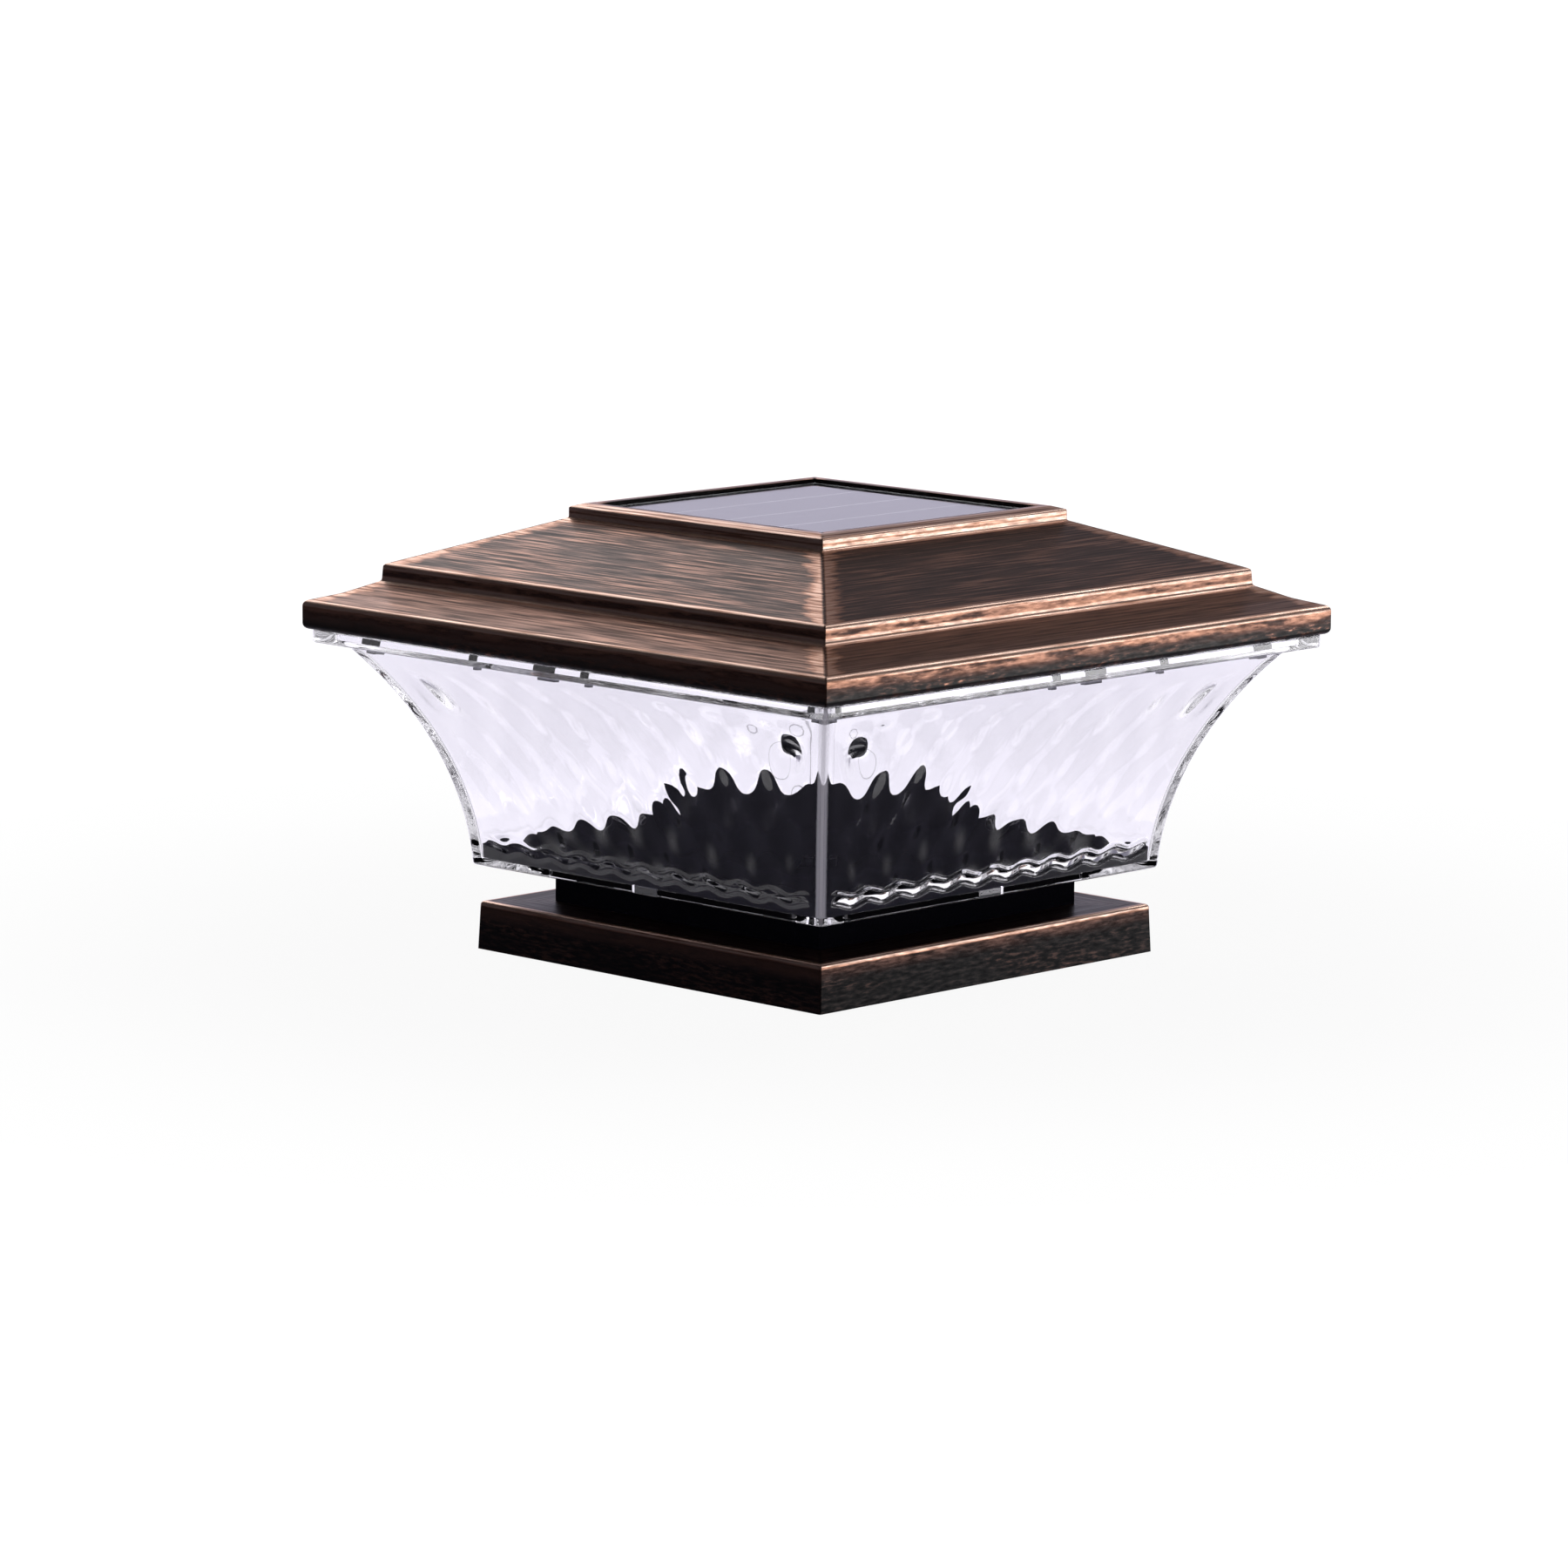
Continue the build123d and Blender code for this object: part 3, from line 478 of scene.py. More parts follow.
def make_lens():
    draw = random.Random(ripple_seed)
    wanders = [[draw.uniform(0, 2 * math.pi) for _ in range(4)] for _ in SIDES]

    def ripple(side, share, z):
        """How far the inside stands in from the plain wall, at a share of a side and a height."""
        phase = wanders[side]
        to_corner = 1 - abs(share)
        along = share * ripple_columns * ripple_pitch / 2
        drift = math.sin(z / drift_up + phase[0]) + math.sin(along / drift_along + phase[1])
        lift = math.sin(along / lift_short + phase[2]) + math.sin(along / lift_long + phase[3])
        across = (along + ripple_wander * drift / 2) / ripple_pitch
        up = (z - ripple_foot + ripple_wander * lift) / ripple_row_pitch
        bump = -math.cos(2 * math.pi * across) * math.cos(2 * math.pi * up)
        strength = fade(z, ripple_bottom, ripple_bottom_fade) * fade(ripple_top - z, 0, ripple_top_fade)
        edge = fade(to_corner, *bead_corner)
        calm = fade(to_corner, *ripple_corner)
        crown = bead_height + bead_wave * math.cos(2 * math.pi * along / bead_pitch)
        foot = crown - bead_drop
        flank = 1 - 2 * min(max((z - foot) / bead_drop, 0), 1)
        bead = flank * (1 - fade(z, crown, bead_fade)) * fade(z, foot - bead_fade, bead_fade)
        depth = ripple_depth + (ripple_mouth_depth - ripple_depth) * fade(z, *ripple_deepens)
        from_corner = to_corner * lens_half(z, lens_wall)
        beside_drop = (from_corner - drop_from_corner) / drop_width
        above_drop = (z - drop_height) / drop_length
        off_drop = math.hypot(beside_drop, above_drop)
        drop = drop_depth * math.exp(-off_drop * off_drop)
        return calm * depth * bump * strength + edge * (bead_depth * bead * bead_shares[side] + drop)

    # The levels run up the outside, over the rim and down the inside, and close through the floor
    outer_heights = spread(lens_bottom, rim_bottom, lens_wall_levels)
    ripple_levels = round((rim_bottom - bead_reach) / ripple_grain)
    bead_levels = round((bead_reach - lens_floor_top) / bead_grain)
    inner_heights = spread(rim_bottom, bead_reach, ripple_levels)
    inner_heights += spread(bead_reach, lens_floor_top, bead_levels)[1:]
    outside = rounded(
        [
            (floor_opening_half, lens_bottom),
            (lens_bottom_half, lens_bottom),
            (lens_half(outer_heights[1]), outer_heights[1]),
        ],
        [lens_foot_radius],
        lens_edge_steps,
    )
    outside += [(lens_half(z), z) for z in outer_heights[2:]]
    spigot_inner_half = lens_half(rim_top, lens_wall)
    spigot_outer_half = spigot_inner_half + lens_wall
    rim = rounded(
        [
            (lens_mouth_half, rim_bottom),
            (rim_half, rim_bottom),
            (rim_half, rim_top),
            (spigot_outer_half, rim_top),
            (spigot_outer_half, spigot_top),
            (spigot_inner_half, spigot_top),
            (spigot_inner_half, rim_bottom + rim_step),
        ],
        [rim_edge_radius, rim_edge_radius, 0, rim_edge_radius, rim_edge_radius],
        lens_edge_steps,
    )
    inside = [(lens_half(z, lens_wall), z) for z in inner_heights]
    levels = outside + rim[1:] + inside + [(floor_opening_half, lens_floor_top)]
    first_inside = len(outside) + len(rim) - 1
    insets = {first_inside + row: ripple for row in range(len(inside))}
    lens = square_body(
        "lens_rippled", levels, lens_corner_radius, spans=lens_spans, ring_closed=True, insets=insets
    )
    slots = slot_blocks(
        "slots",
        tray_slot_at,
        tray_slot_width,
        tray_slot_depth,
        lens_bottom - cut_past,
        lens_floor_top + tray_slot_past,
    )
    shape_with(lens, slots, "DIFFERENCE")
    lens.data.shade_smooth()
    lens.data.set_sharp_from_angle(angle=math.radians(lens_sharp_angle))
    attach(lens, "base")
    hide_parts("lens")
    return lens


# Materials


def to_linear(hex_colour):
    """A screen colour such as #C88A5A as the linear red, green, blue and alpha that shaders take."""
    channels = [int(hex_colour[at : at + 2], 16) / 255 for at in (1, 3, 5)]
    linear = [c / 12.92 if c <= 0.04045 else ((c + 0.055) / 1.055) ** 2.4 for c in channels]
    return (*linear, 1.0)


def add(tree, kind, inputs=None, **settings):
    """Add a node, set its properties, and fill its inputs with values or other nodes' outputs."""
    made = tree.nodes.new(kind)
    for name, value in settings.items():
        setattr(made, name, value)
    for socket, value in (inputs or {}).items():
        if isinstance(value, bpy.types.NodeSocket):
            tree.links.new(value, made.inputs[socket])
        else:
            made.inputs[socket].default_value = value
    return made


# Most of a noise's values lie between these
noise_low, noise_high = 0.3, 0.7

# Grain of the spark-eroded moulds that the black plastic comes from
spark_grain = 0.5 * MM


def new_material(name):
    """A material with an empty node tree, and that tree."""
    material = bpy.data.materials.new(name)
    material.use_nodes = True
    material.node_tree.nodes.clear()
    return material, material.node_tree


def mottled(name, dark, light, grain, roughness, metallic=0.0, dent=0.0, stretch=(1, 1, 1), **constants):
    """A finish whose colour, gloss and surface all vary a little, at the grain's real size."""
    material, tree = new_material(name)
    place = add(tree, "ShaderNodeTexCoord").outputs["Object"]
    scaled = add(tree, "ShaderNodeMapping", {"Vector": place, "Scale": [s / grain for s in stretch]})
    fine = add(tree, "ShaderNodeTexNoise", {"Vector": scaled.outputs[0], "Scale": 1.0, "Detail": 3.0})
    colour = add(
        tree,
        "ShaderNodeMix",
        {0: fine.outputs["Fac"], 6: to_linear(dark), 7: to_linear(light)},
        data_type="RGBA",
    )
    gloss = add(
        tree,
        "ShaderNodeMapRange",
        {
            "Value": fine.outputs["Fac"],
            "From Min": noise_low,
            "From Max": noise_high,
            "To Min": roughness[0],
            "To Max": roughness[1],
        },
    )
    bump = add(
        tree, "ShaderNodeBump", {"Height": fine.outputs["Fac"], "Distance": dent, "Strength": 1.0}
    )
    shader = add(
        tree,
        "ShaderNodeBsdfPrincipled",
        {
            "Base Color": colour.outputs[2],
            "Roughness": gloss.outputs[0],
            "Metallic": metallic,
            "Normal": bump.outputs[0],
            **constants,
        },
    )
    add(tree, "ShaderNodeOutputMaterial", {"Surface": shader.outputs[0]})
    return material


def rubbed_copper_over_abs(name, ground, edges, top_cover, side_cover, sheen):
    """Near-black moulded ABS with copper paint rubbed on along each side: streaks follow the side,
    and the copper gathers on the hips and the ridges, so the edges glow and the flats stay dark.
    The palest copper shade, on the thickest copper at the ridges and hips, is a painted highlight,
    and a copper wash on the lower slope is painted light."""
    streak_length, streak_width = 20 * MM, 0.7 * MM
    patch_length, patch_width = 40 * MM, 9 * MM
    fleck_length, fleck_width = 3.0 * MM, 0.7 * MM
    daub_length, daub_width = 12 * MM, 2.2 * MM
    rag_swing = 14 * MM
    paint_relief = 0.02 * MM
    sides_apart = 7.0
    material, tree = new_material(name)
    place = add(tree, "ShaderNodeTexCoord").outputs["Object"]
    facing = add(tree, "ShaderNodeNewGeometry").outputs["Normal"]
    x, y, z = add(tree, "ShaderNodeSeparateXYZ", {0: place}).outputs
    upward = add(tree, "ShaderNodeSeparateXYZ", {0: facing}).outputs[2]
    from_x = add(tree, "ShaderNodeMath", {0: x}, operation="ABSOLUTE").outputs[0]
    from_y = add(tree, "ShaderNodeMath", {0: y}, operation="ABSOLUTE").outputs[0]
    half = add(tree, "ShaderNodeMath", {0: from_x, 1: from_y}, operation="MAXIMUM").outputs[0]
    near = add(tree, "ShaderNodeMath", {0: from_x, 1: from_y}, operation="MINIMUM").outputs[0]
    from_hip = add(tree, "ShaderNodeMath", {0: half, 1: near}, operation="SUBTRACT").outputs[0]
    on_x_side = add(tree, "ShaderNodeMath", {0: from_x, 1: from_y}, operation="GREATER_THAN").outputs[0]
    along = add(tree, "ShaderNodeMix", {0: on_x_side, 2: x, 3: y}).outputs[0]
    outward = add(tree, "ShaderNodeMix", {0: on_x_side, 2: y, 3: x}).outputs[0]
    across = add(tree, "ShaderNodeMath", {0: z, 1: half}, operation="SUBTRACT").outputs[0]

    # A number of its own for each side, so that no two sides have the same streaks
    which = add(tree, "ShaderNodeMath", {0: outward}, operation="SIGN").outputs[0]
    apart = add(
        tree, "ShaderNodeMath", {0: on_x_side, 1: 2.0, 2: which}, operation="MULTIPLY_ADD"
    ).outputs[0]
    brush = add(tree, "ShaderNodeCombineXYZ", {0: along, 1: across, 2: apart}).outputs[0]

    noises = []
    for length, width, detail in (
        (streak_length, streak_width, 5.0),
        (patch_length, patch_width, 2.0),
        (fleck_length, fleck_width, 5.0),
        (daub_length, daub_width, 6.0),
    ):
        grain = (1 / length, 1 / width, sides_apart)
        scaled = add(tree, "ShaderNodeMapping", {0: brush, "Scale": grain}).outputs[0]
        noise = add(
            tree, "ShaderNodeTexNoise", {"Vector": scaled, "Scale": 1.0, "Detail": detail, "Roughness": 0.6}
        )
        noises.append(noise.outputs[0])
    streaks, patches, flecks, daubs = noises

    # How far a place is from the nearest ridge
    from_edge = None
    for edge_half, edge_z in edges:
        out = add(tree, "ShaderNodeMath", {0: half, 1: edge_half}, operation="SUBTRACT").outputs[0]
        up = add(tree, "ShaderNodeMath", {0: z, 1: edge_z}, operation="SUBTRACT").outputs[0]
        gap = add(tree, "ShaderNodeCombineXYZ", {0: out, 1: up}).outputs[0]
        reach = add(tree, "ShaderNodeVectorMath", {0: gap}, operation="LENGTH").outputs["Value"]
        if from_edge is None:
            from_edge = reach
        else:
            nearer = add(tree, "ShaderNodeMath", {0: from_edge, 1: reach}, operation="MINIMUM")
            from_edge = nearer.outputs[0]

    # The rag turns over at the hips, so the copper's inner edge there is ragged
    ragged = add(
        tree, "ShaderNodeMath", {0: daubs, 1: rag_swing, 2: from_hip}, operation="MULTIPLY_ADD"
    ).outputs[0]

    # Each mask: what it reads, where it starts, where it is full, and its two levels
    masks = {}
    for mask, (value, start, full, low, high) in {
        "outside": (half, recess_half + 0.3 * MM, crest_half, 0.0, 1.0),
        "slope": (upward, 0.35, 0.8, 0.0, top_cover),
        "upright": (upward, 0.5, 0.15, 0.0, 1.0),
        # The hips and ridges take the thickest copper, whose palest shade is a painted highlight line
        "hip": (ragged, 14.5 * MM, 8.5 * MM, 0.0, 0.8),
        "off hip": (from_hip, 0.2 * MM, 0.8 * MM, 0.4, 1.0),
        "ridge": (from_edge, 1.5 * MM, 0.7 * MM, 0.0, 1.0),
        "glow": (from_edge, 4.8 * MM, 0.8 * MM, 0.0, side_cover),
        "streaky": (streaks, 0.32, 0.75, 0.17, 0.64),
        "worn": (streaks, 0.25, 0.60, 0.5, 1.0),
        # Painted light: a copper wash on the lower slope, below the step, standing in for light that
        # reaches it
        "painted_light_lower_slope": (z, cove_top + 0.5 * MM, cove_top - 0.5 * MM, 0.0, 0.45),
        "even": (streaks, 0.25, 0.70, 0.6, 1.0),
        "patchy": (patches, 0.35, 0.70, 0.7, 1.0),
        "side patch": (patches, 0.4, 0.65, 0.1, side_cover),
        "flecked": (flecks, 0.42, 0.75, 0.0, 0.8),
        "daubed": (daubs, 0.30, 0.62, 0.25, 1.0),
    }.items():
        masks[mask] = add(
            tree,
            "ShaderNodeMapRange",
            {"Value": value, "From Min": start, "From Max": full, "To Min": low, "To Max": high},
            interpolation_type="SMOOTHSTEP",
        ).outputs[0]

    # Masks in a row are multiplied, and the thickest layer of copper wins
    copper = 0.0
    for first, *rest in (
        ("streaky", "patchy", "slope"),
        # The lower slope's wash of painted light
        ("painted_light_lower_slope", "even", "slope"),
        ("hip", "off hip", "worn", "slope"),
        ("ridge", "worn", "outside"),
        ("glow", "daubed", "upright", "outside"),
        ("side patch", "flecked", "upright", "outside"),
    ):
        layer = masks[first]
        for mask in rest:
            layer = add(tree, "ShaderNodeMath", {0: layer, 1: masks[mask]}, operation="MULTIPLY").outputs[0]
        copper = add(tree, "ShaderNodeMath", {0: copper, 1: layer}, operation="MAXIMUM").outputs[0]

    # Thin copper reads brown over the black, thick copper bright; the palest shade, on the thickest copper
    # at the ridges and hips, is a painted highlight
    colour = to_linear(ground)
    for start, full, shade in ((0.0, 0.45, "#6C4F46"), (0.3, 0.72, "#C7937A"), (0.62, 0.95, "#EBCAB9")):
        amount = add(
            tree, "ShaderNodeMapRange", {"Value": copper, "From Min": start, "From Max": full}
        ).outputs[0]
        colour = add(
            tree, "ShaderNodeMix", {0: amount, 6: colour, 7: to_linear(shade)}, data_type="RGBA"
        ).outputs[2]
    metal = add(tree, "ShaderNodeMapRange", {"Value": copper, "From Min": 0.0, "From Max": 0.35}).outputs[0]
    rubbed = add(tree, "ShaderNodeMix", {0: masks["upright"], 2: streaks, 3: flecks}).outputs[0]
    gloss = add(
        tree,
        "ShaderNodeMapRange",
        {"Value": rubbed, "From Min": 0.35, "From Max": 0.65, "To Min": 0.5, "To Max": 0.3},
    ).outputs[0]
    relief = add(tree, "ShaderNodeBump", {"Height": rubbed, "Distance": paint_relief, "Strength": 1.0})
    shader = add(
        tree,
        "ShaderNodeBsdfPrincipled",
        {
            "Base Color": colour,
            "Metallic": metal,
            "Roughness": gloss,
            "Specular IOR Level": sheen,
            "Normal": relief.outputs[0],
        },
    )
    add(tree, "ShaderNodeOutputMaterial", {"Surface": shader.outputs[0]})
    return material


def clear_plastic(name, tint, roughness, ior, painted_corner_highlight=0.0):
    """Moulded clear plastic: seen through, with a faint cool tint and a little flow in its gloss.
    A share given for the corners makes the plastic partly opaque there, leaving a pale thread along a
    square moulding's corners: a painted highlight."""
    flow_size = 15 * MM
    thread_half, thread_edge = 0.4 * MM, 0.8 * MM
    material, tree = new_material(name)
    place = add(tree, "ShaderNodeTexCoord").outputs["Object"]
    flow = add(tree, "ShaderNodeTexNoise", {"Vector": place, "Scale": 1 / flow_size, "Detail": 1.0})
    gloss = add(
        tree,
        "ShaderNodeMapRange",
        {
            "Value": flow.outputs[0],
            "From Min": noise_low,
            "From Max": noise_high,
            "To Min": roughness[0],
            "To Max": roughness[1],
        },
    ).outputs[0]
    clear = 1.0
    # Along the corners the plastic turns partly opaque white: a painted highlight thread
    if painted_corner_highlight:
        x, y = add(tree, "ShaderNodeSeparateXYZ", {0: place}).outputs[:2]
        from_x = add(tree, "ShaderNodeMath", {0: x}, operation="ABSOLUTE").outputs[0]
        from_y = add(tree, "ShaderNodeMath", {0: y}, operation="ABSOLUTE").outputs[0]
        apart = add(tree, "ShaderNodeMath", {0: from_x, 1: from_y}, operation="SUBTRACT").outputs[0]
        from_corner = add(tree, "ShaderNodeMath", {0: apart}, operation="ABSOLUTE").outputs[0]
        clear = add(
            tree,
            "ShaderNodeMapRange",
            {
                "Value": from_corner,
                "From Min": thread_half,
                "From Max": thread_edge,
                "To Min": 1 - painted_corner_highlight,
                "To Max": 1.0,
            },
        ).outputs[0]
    shader = add(
        tree,
        "ShaderNodeBsdfPrincipled",
        {
            "Base Color": to_linear(tint),
            "Roughness": gloss,
            "IOR": ior,
            "Transmission Weight": clear,
        },
    )
    add(tree, "ShaderNodeOutputMaterial", {"Surface": shader.outputs[0]})
    return material


def silicon_cells():
    """Monocrystalline silicon with printed silver: blue-black, with fine pale fingers across."""
    finger_pitch, finger_share = 1.6 * MM, 0.15
    mottle_size = 3 * MM
    material, tree = new_material("monocrystalline_silicon_cells")
    place = add(tree, "ShaderNodeTexCoord").outputs["Object"]
    across = add(tree, "ShaderNodeSeparateXYZ", {0: place}).outputs[1]
    count = add(tree, "ShaderNodeMath", {0: across, 1: finger_pitch}, operation="DIVIDE").outputs[0]
    saw = add(tree, "ShaderNodeMath", {0: count}, operation="FRACT").outputs[0]
    finger = add(tree, "ShaderNodeMath", {0: saw, 1: finger_share}, operation="LESS_THAN").outputs[0]
    mottle = add(tree, "ShaderNodeTexNoise", {"Vector": place, "Scale": 1 / mottle_size, "Detail": 3.0})
    silicon = add(
        tree,
        "ShaderNodeMix",
        {0: mottle.outputs[0], 6: to_linear("#1B2150"), 7: to_linear("#34397A")},
        data_type="RGBA",
    ).outputs[2]
    colour = add(
        tree, "ShaderNodeMix", {0: finger, 6: silicon, 7: to_linear("#7E8490")}, data_type="RGBA"
    ).outputs[2]
    shader = add(
        tree, "ShaderNodeBsdfPrincipled", {"Base Color": colour, "Roughness": 0.3, "Metallic": 0.8}
    )
    add(tree, "ShaderNodeOutputMaterial", {"Surface": shader.outputs[0]})
    return material


def abs_with_white_underside():
    """Moulded black ABS whose flat underside is sprayed white to throw light down: dull white over
    the lens, with black ribs, clips and edges."""
    faces_down = -0.9
    material, tree = new_material("moulded_abs_sprayed_white_below")
    place = add(tree, "ShaderNodeTexCoord").outputs["Object"]
    height = add(tree, "ShaderNodeSeparateXYZ", {0: place}).outputs[2]
    facing = add(tree, "ShaderNodeNewGeometry").outputs["Normal"]
    upward = add(tree, "ShaderNodeSeparateXYZ", {0: facing}).outputs[2]
    level = add(tree, "ShaderNodeMath", {0: height, 1: eave_bottom}, operation="GREATER_THAN").outputs[0]
    below = add(tree, "ShaderNodeMath", {0: upward, 1: faces_down}, operation="LESS_THAN").outputs[0]
    sprayed = add(tree, "ShaderNodeMath", {0: level, 1: below}, operation="MULTIPLY").outputs[0]
    spark = add(tree, "ShaderNodeTexNoise", {"Vector": place, "Scale": 1 / spark_grain, "Detail": 3.0})
    shades = []
    for dark, light in (("#08080A", "#121217"), ("#C4C4CA", "#D6D6DA")):
        shade = add(
            tree,
            "ShaderNodeMix",
            {0: spark.outputs[0], 6: to_linear(dark), 7: to_linear(light)},
            data_type="RGBA",
        )
        shades.append(shade.outputs[2])
    black, white = shades
    colour = add(tree, "ShaderNodeMix", {0: sprayed, 6: black, 7: white}, data_type="RGBA").outputs[2]
    shader = add(
        tree,
        "ShaderNodeBsdfPrincipled",
        {"Base Color": colour, "Roughness": 0.65, "Specular IOR Level": 0.0},
    )
    add(tree, "ShaderNodeOutputMaterial", {"Surface": shader.outputs[0]})
    return material


def dress(names, material):
    """Give CAD nodes a material in place of their own."""
    for name in names:
        slots = nodes[name].data.materials
        slots.clear()
        slots.append(material)


roof = make_roof_shell()
base = make_base_sleeve()
lens = make_lens()

# Copper paint rubbed over black ABS: thick on the roof, a thin wash on the base
roof_ridges = [
    (roof_half, eave_top),
    (step_half, cove_top),
    (step_top_half, step_top),
    (frame_half, slope_top),
    (frame_half, frame_top),
    (crest_half, crest),
]
roof_copper = rubbed_copper_over_abs(
    "rubbed_copper_over_abs_roof", "#120D0C", roof_ridges, top_cover=1.0, side_cover=0.63, sheen=0.3
)
roof.data.materials.append(roof_copper)
base_ridges = [(base_top_half, base_top)]
base_copper = rubbed_copper_over_abs(
    "rubbed_copper_over_abs_base", "#100E12", base_ridges, top_cover=0.25, side_cover=0.35, sheen=0.12
)
base.data.materials.append(base_copper)

# Black ABS, moulded with a fine spark texture: deep black with a soft dull sheen
black_abs = mottled(
    "moulded_black_abs",
    "#0E0E12",
    "#1A1A22",
    spark_grain,
    (0.6, 0.75),
    dent=0.02 * MM,
    **{"Specular IOR Level": 0.0},
)
dress(["neck_collar", "floor_tray", "battery_door", "switch_body"], black_abs)
dress(["ceiling_plate"], abs_with_white_underside())

# Clear acrylic, injection moulded: bright and clear, faintly lavender in its thickness
# The lens's corners carry a painted highlight: a pale, partly opaque thread
clear_lens = clear_plastic("clear_moulded_acrylic", "#F9F7FE", (0.0, 0.02), 1.5, painted_corner_highlight=0.42)
lens.data.materials.append(clear_lens)
dress(["led_dome"], clear_plastic("clear_moulded_acrylic_dome", "#FCFBFF", (0.0, 0.02), 1.5))

# Clear epoxy, cast over the cells: glassy, its gloss a little softer than the lens's
dress(["panel_cover"], clear_plastic("clear_cast_epoxy", "#F2F4FA", (0.04, 0.10), 1.5))

dress(["solar_cells"], silicon_cells())

# Glass-fibre laminate with solder mask: even colour, faintly mottled by the weave underneath
weave = 0.8 * MM
green_board = mottled("green_solder_mask_laminate", "#0E4A2C", "#17633B", weave, (0.3, 0.42))
dress(["circuit_board"], green_board)
black_board = mottled("black_solder_mask_laminate", "#0C0D16", "#151724", weave, (0.35, 0.5))
dress(["panel_board"], black_board)

# Closed-cell EVA foam: dull dark grey, pitted by its cells
eva_foam = mottled(
    "closed_cell_eva_foam", "#1D1D1F", "#37373A", 0.35 * MM, (0.85, 0.95), dent=0.1 * MM
)
dress(["panel_gasket"], eva_foam)

# Zinc-plated steel, tumbled: bluish silver, lightly mottled
zinc = mottled("zinc_plated_steel", "#9CA2A8", "#C6CACC", 0.6 * MM, (0.28, 0.45), metallic=1.0)
dress(["base_screws", "ceiling_screws", "board_screws"], zinc)

# Zinc-plated steel, passivated black where it would show through the lens: near black, dull
black_zinc = mottled(
    "black_passivated_zinc", "#101014", "#1E1E24", 0.6 * MM, (0.5, 0.65), metallic=1.0
)
dress(["tray_screws"], black_zinc)

# Nickel-plated spring steel, rolled: warm silver with fine roll lines
nickel = mottled(
    "nickel_plated_steel",
    "#B9B3A6",
    "#DAD5C9",
    0.3 * MM,
    (0.2, 0.34),
    metallic=1.0,
    stretch=(1, 1, 0.1),
)
dress(["battery_spring", "battery_plus_contact", "battery_minus_contact"], nickel)

# Shrunk PVC jacket on the cell: satin, plain
dress(["battery_cell"], mottled("shrunk_pvc_jacket", "#2E6B3F", "#3B8250", 2 * MM, (0.3, 0.4)))

# PVC insulation, extruded: soft sheen along the wire
red_pvc = mottled("red_pvc_insulation", "#9E1B1B", "#BA2A25", 1.0 * MM, (0.4, 0.5))
dress(["panel_lead_red", "battery_lead_red"], red_pvc)
black_pvc = mottled("black_pvc_insulation", "#101010", "#1C1C1C", 1.0 * MM, (0.4, 0.5))
dress(["panel_lead_black", "battery_lead_black"], black_pvc)

# Sintered ferrite: dark grey, matt, faintly grainy
ferrite = mottled("sintered_ferrite", "#232325", "#333336", 0.4 * MM, (0.6, 0.75), dent=0.03 * MM)
dress(["inductor"], ferrite)

# Epoxy moulding compound: black, matt, a fine sandy tooth
chip_epoxy = mottled(
    "black_epoxy_compound", "#141415", "#1F1F21", 0.25 * MM, (0.55, 0.7), dent=0.02 * MM
)
dress(["driver_chip"], chip_epoxy)

# Phosphor in a white ceramic cup: pale yellow, dull
phosphor = mottled("phosphor_in_white_ceramic", "#E8D27A", "#F4EFD8", 1.0 * MM, (0.5, 0.6))
dress(["led_emitter"], phosphor)

# White acetal, moulded: soft white with a waxy sheen
dress(["switch_knob"], mottled("white_acetal", "#DCDCD8", "#EDEDEA", 0.6 * MM, (0.35, 0.45)))


# Camera, at the photograph's place
view_azimuth = math.radians(44.31)
view_elevation = math.radians(9.28)
view_roll = math.radians(0.39)
view_distance = 1.4297
view_centre = Vector((0, 0, 40.3 * MM))
offset_right = -6.5 * MM
offset_up = -5.88 * MM
focal_length = 161.06
sensor_width = 36.0

level_right = Vector((math.cos(view_azimuth), math.sin(view_azimuth), 0))
toward_camera = Vector(
    (
        math.sin(view_azimuth) * math.cos(view_elevation),
        -math.cos(view_azimuth) * math.cos(view_elevation),
        math.sin(view_elevation),
    )
)
level_up = toward_camera.cross(level_right)
to_the_back = (-math.sin(view_azimuth), math.cos(view_azimuth), 0)


def place_camera():
    data = bpy.data.cameras.new("camera")
    data.lens = focal_length
    data.sensor_width = sensor_width
    camera = bpy.data.objects.new("camera", data)
    bpy.context.scene.collection.objects.link(camera)
    right = level_right * math.cos(view_roll) + level_up * math.sin(view_roll)
    up = level_up * math.cos(view_roll) - level_right * math.sin(view_roll)
    aim = view_centre + level_right * offset_right + level_up * offset_up
    place = aim + toward_camera * view_distance
    rows = [(right[axis], up[axis], toward_camera[axis], place[axis]) for axis in range(3)]
    camera.matrix_world = Matrix([*rows, (0, 0, 0, 1)])
    bpy.context.scene.camera = camera


# Stage: pale floor and white surroundings, softboxes behind on the left and to the right

# Overexposed a little, so that what is seen through the clear plastic is near white too
white_level = 1.2
wall_level = 1.12

# A round floor, which shows the faint shadow near the light and is plain white at its edge
floor_radius = 0.24
floor_segments = 96
shadow_radius = 0.09
shadow_whiteness = 0.93

# A ring of painted shade on the floor round the front of the light, dark grey, which only the clear plastic
# shows
painted_shade_inner = 0.07
painted_shade_outer = 0.10
painted_shade_outer_blur = 0.05
painted_shade_back_blur = 0.06
painted_shade_colour = "#747280"

# What gloss mirrors: white behind the light, dark in front of it and dim high up
mirror_dark = 0.03
mirror_front, mirror_back = 0.35, 0.75
mirror_dim = 0.2
mirror_low, mirror_high = 0.25, 0.5
ambient = 0.3

softboxes_aim = Vector((0, 0, 0.05))


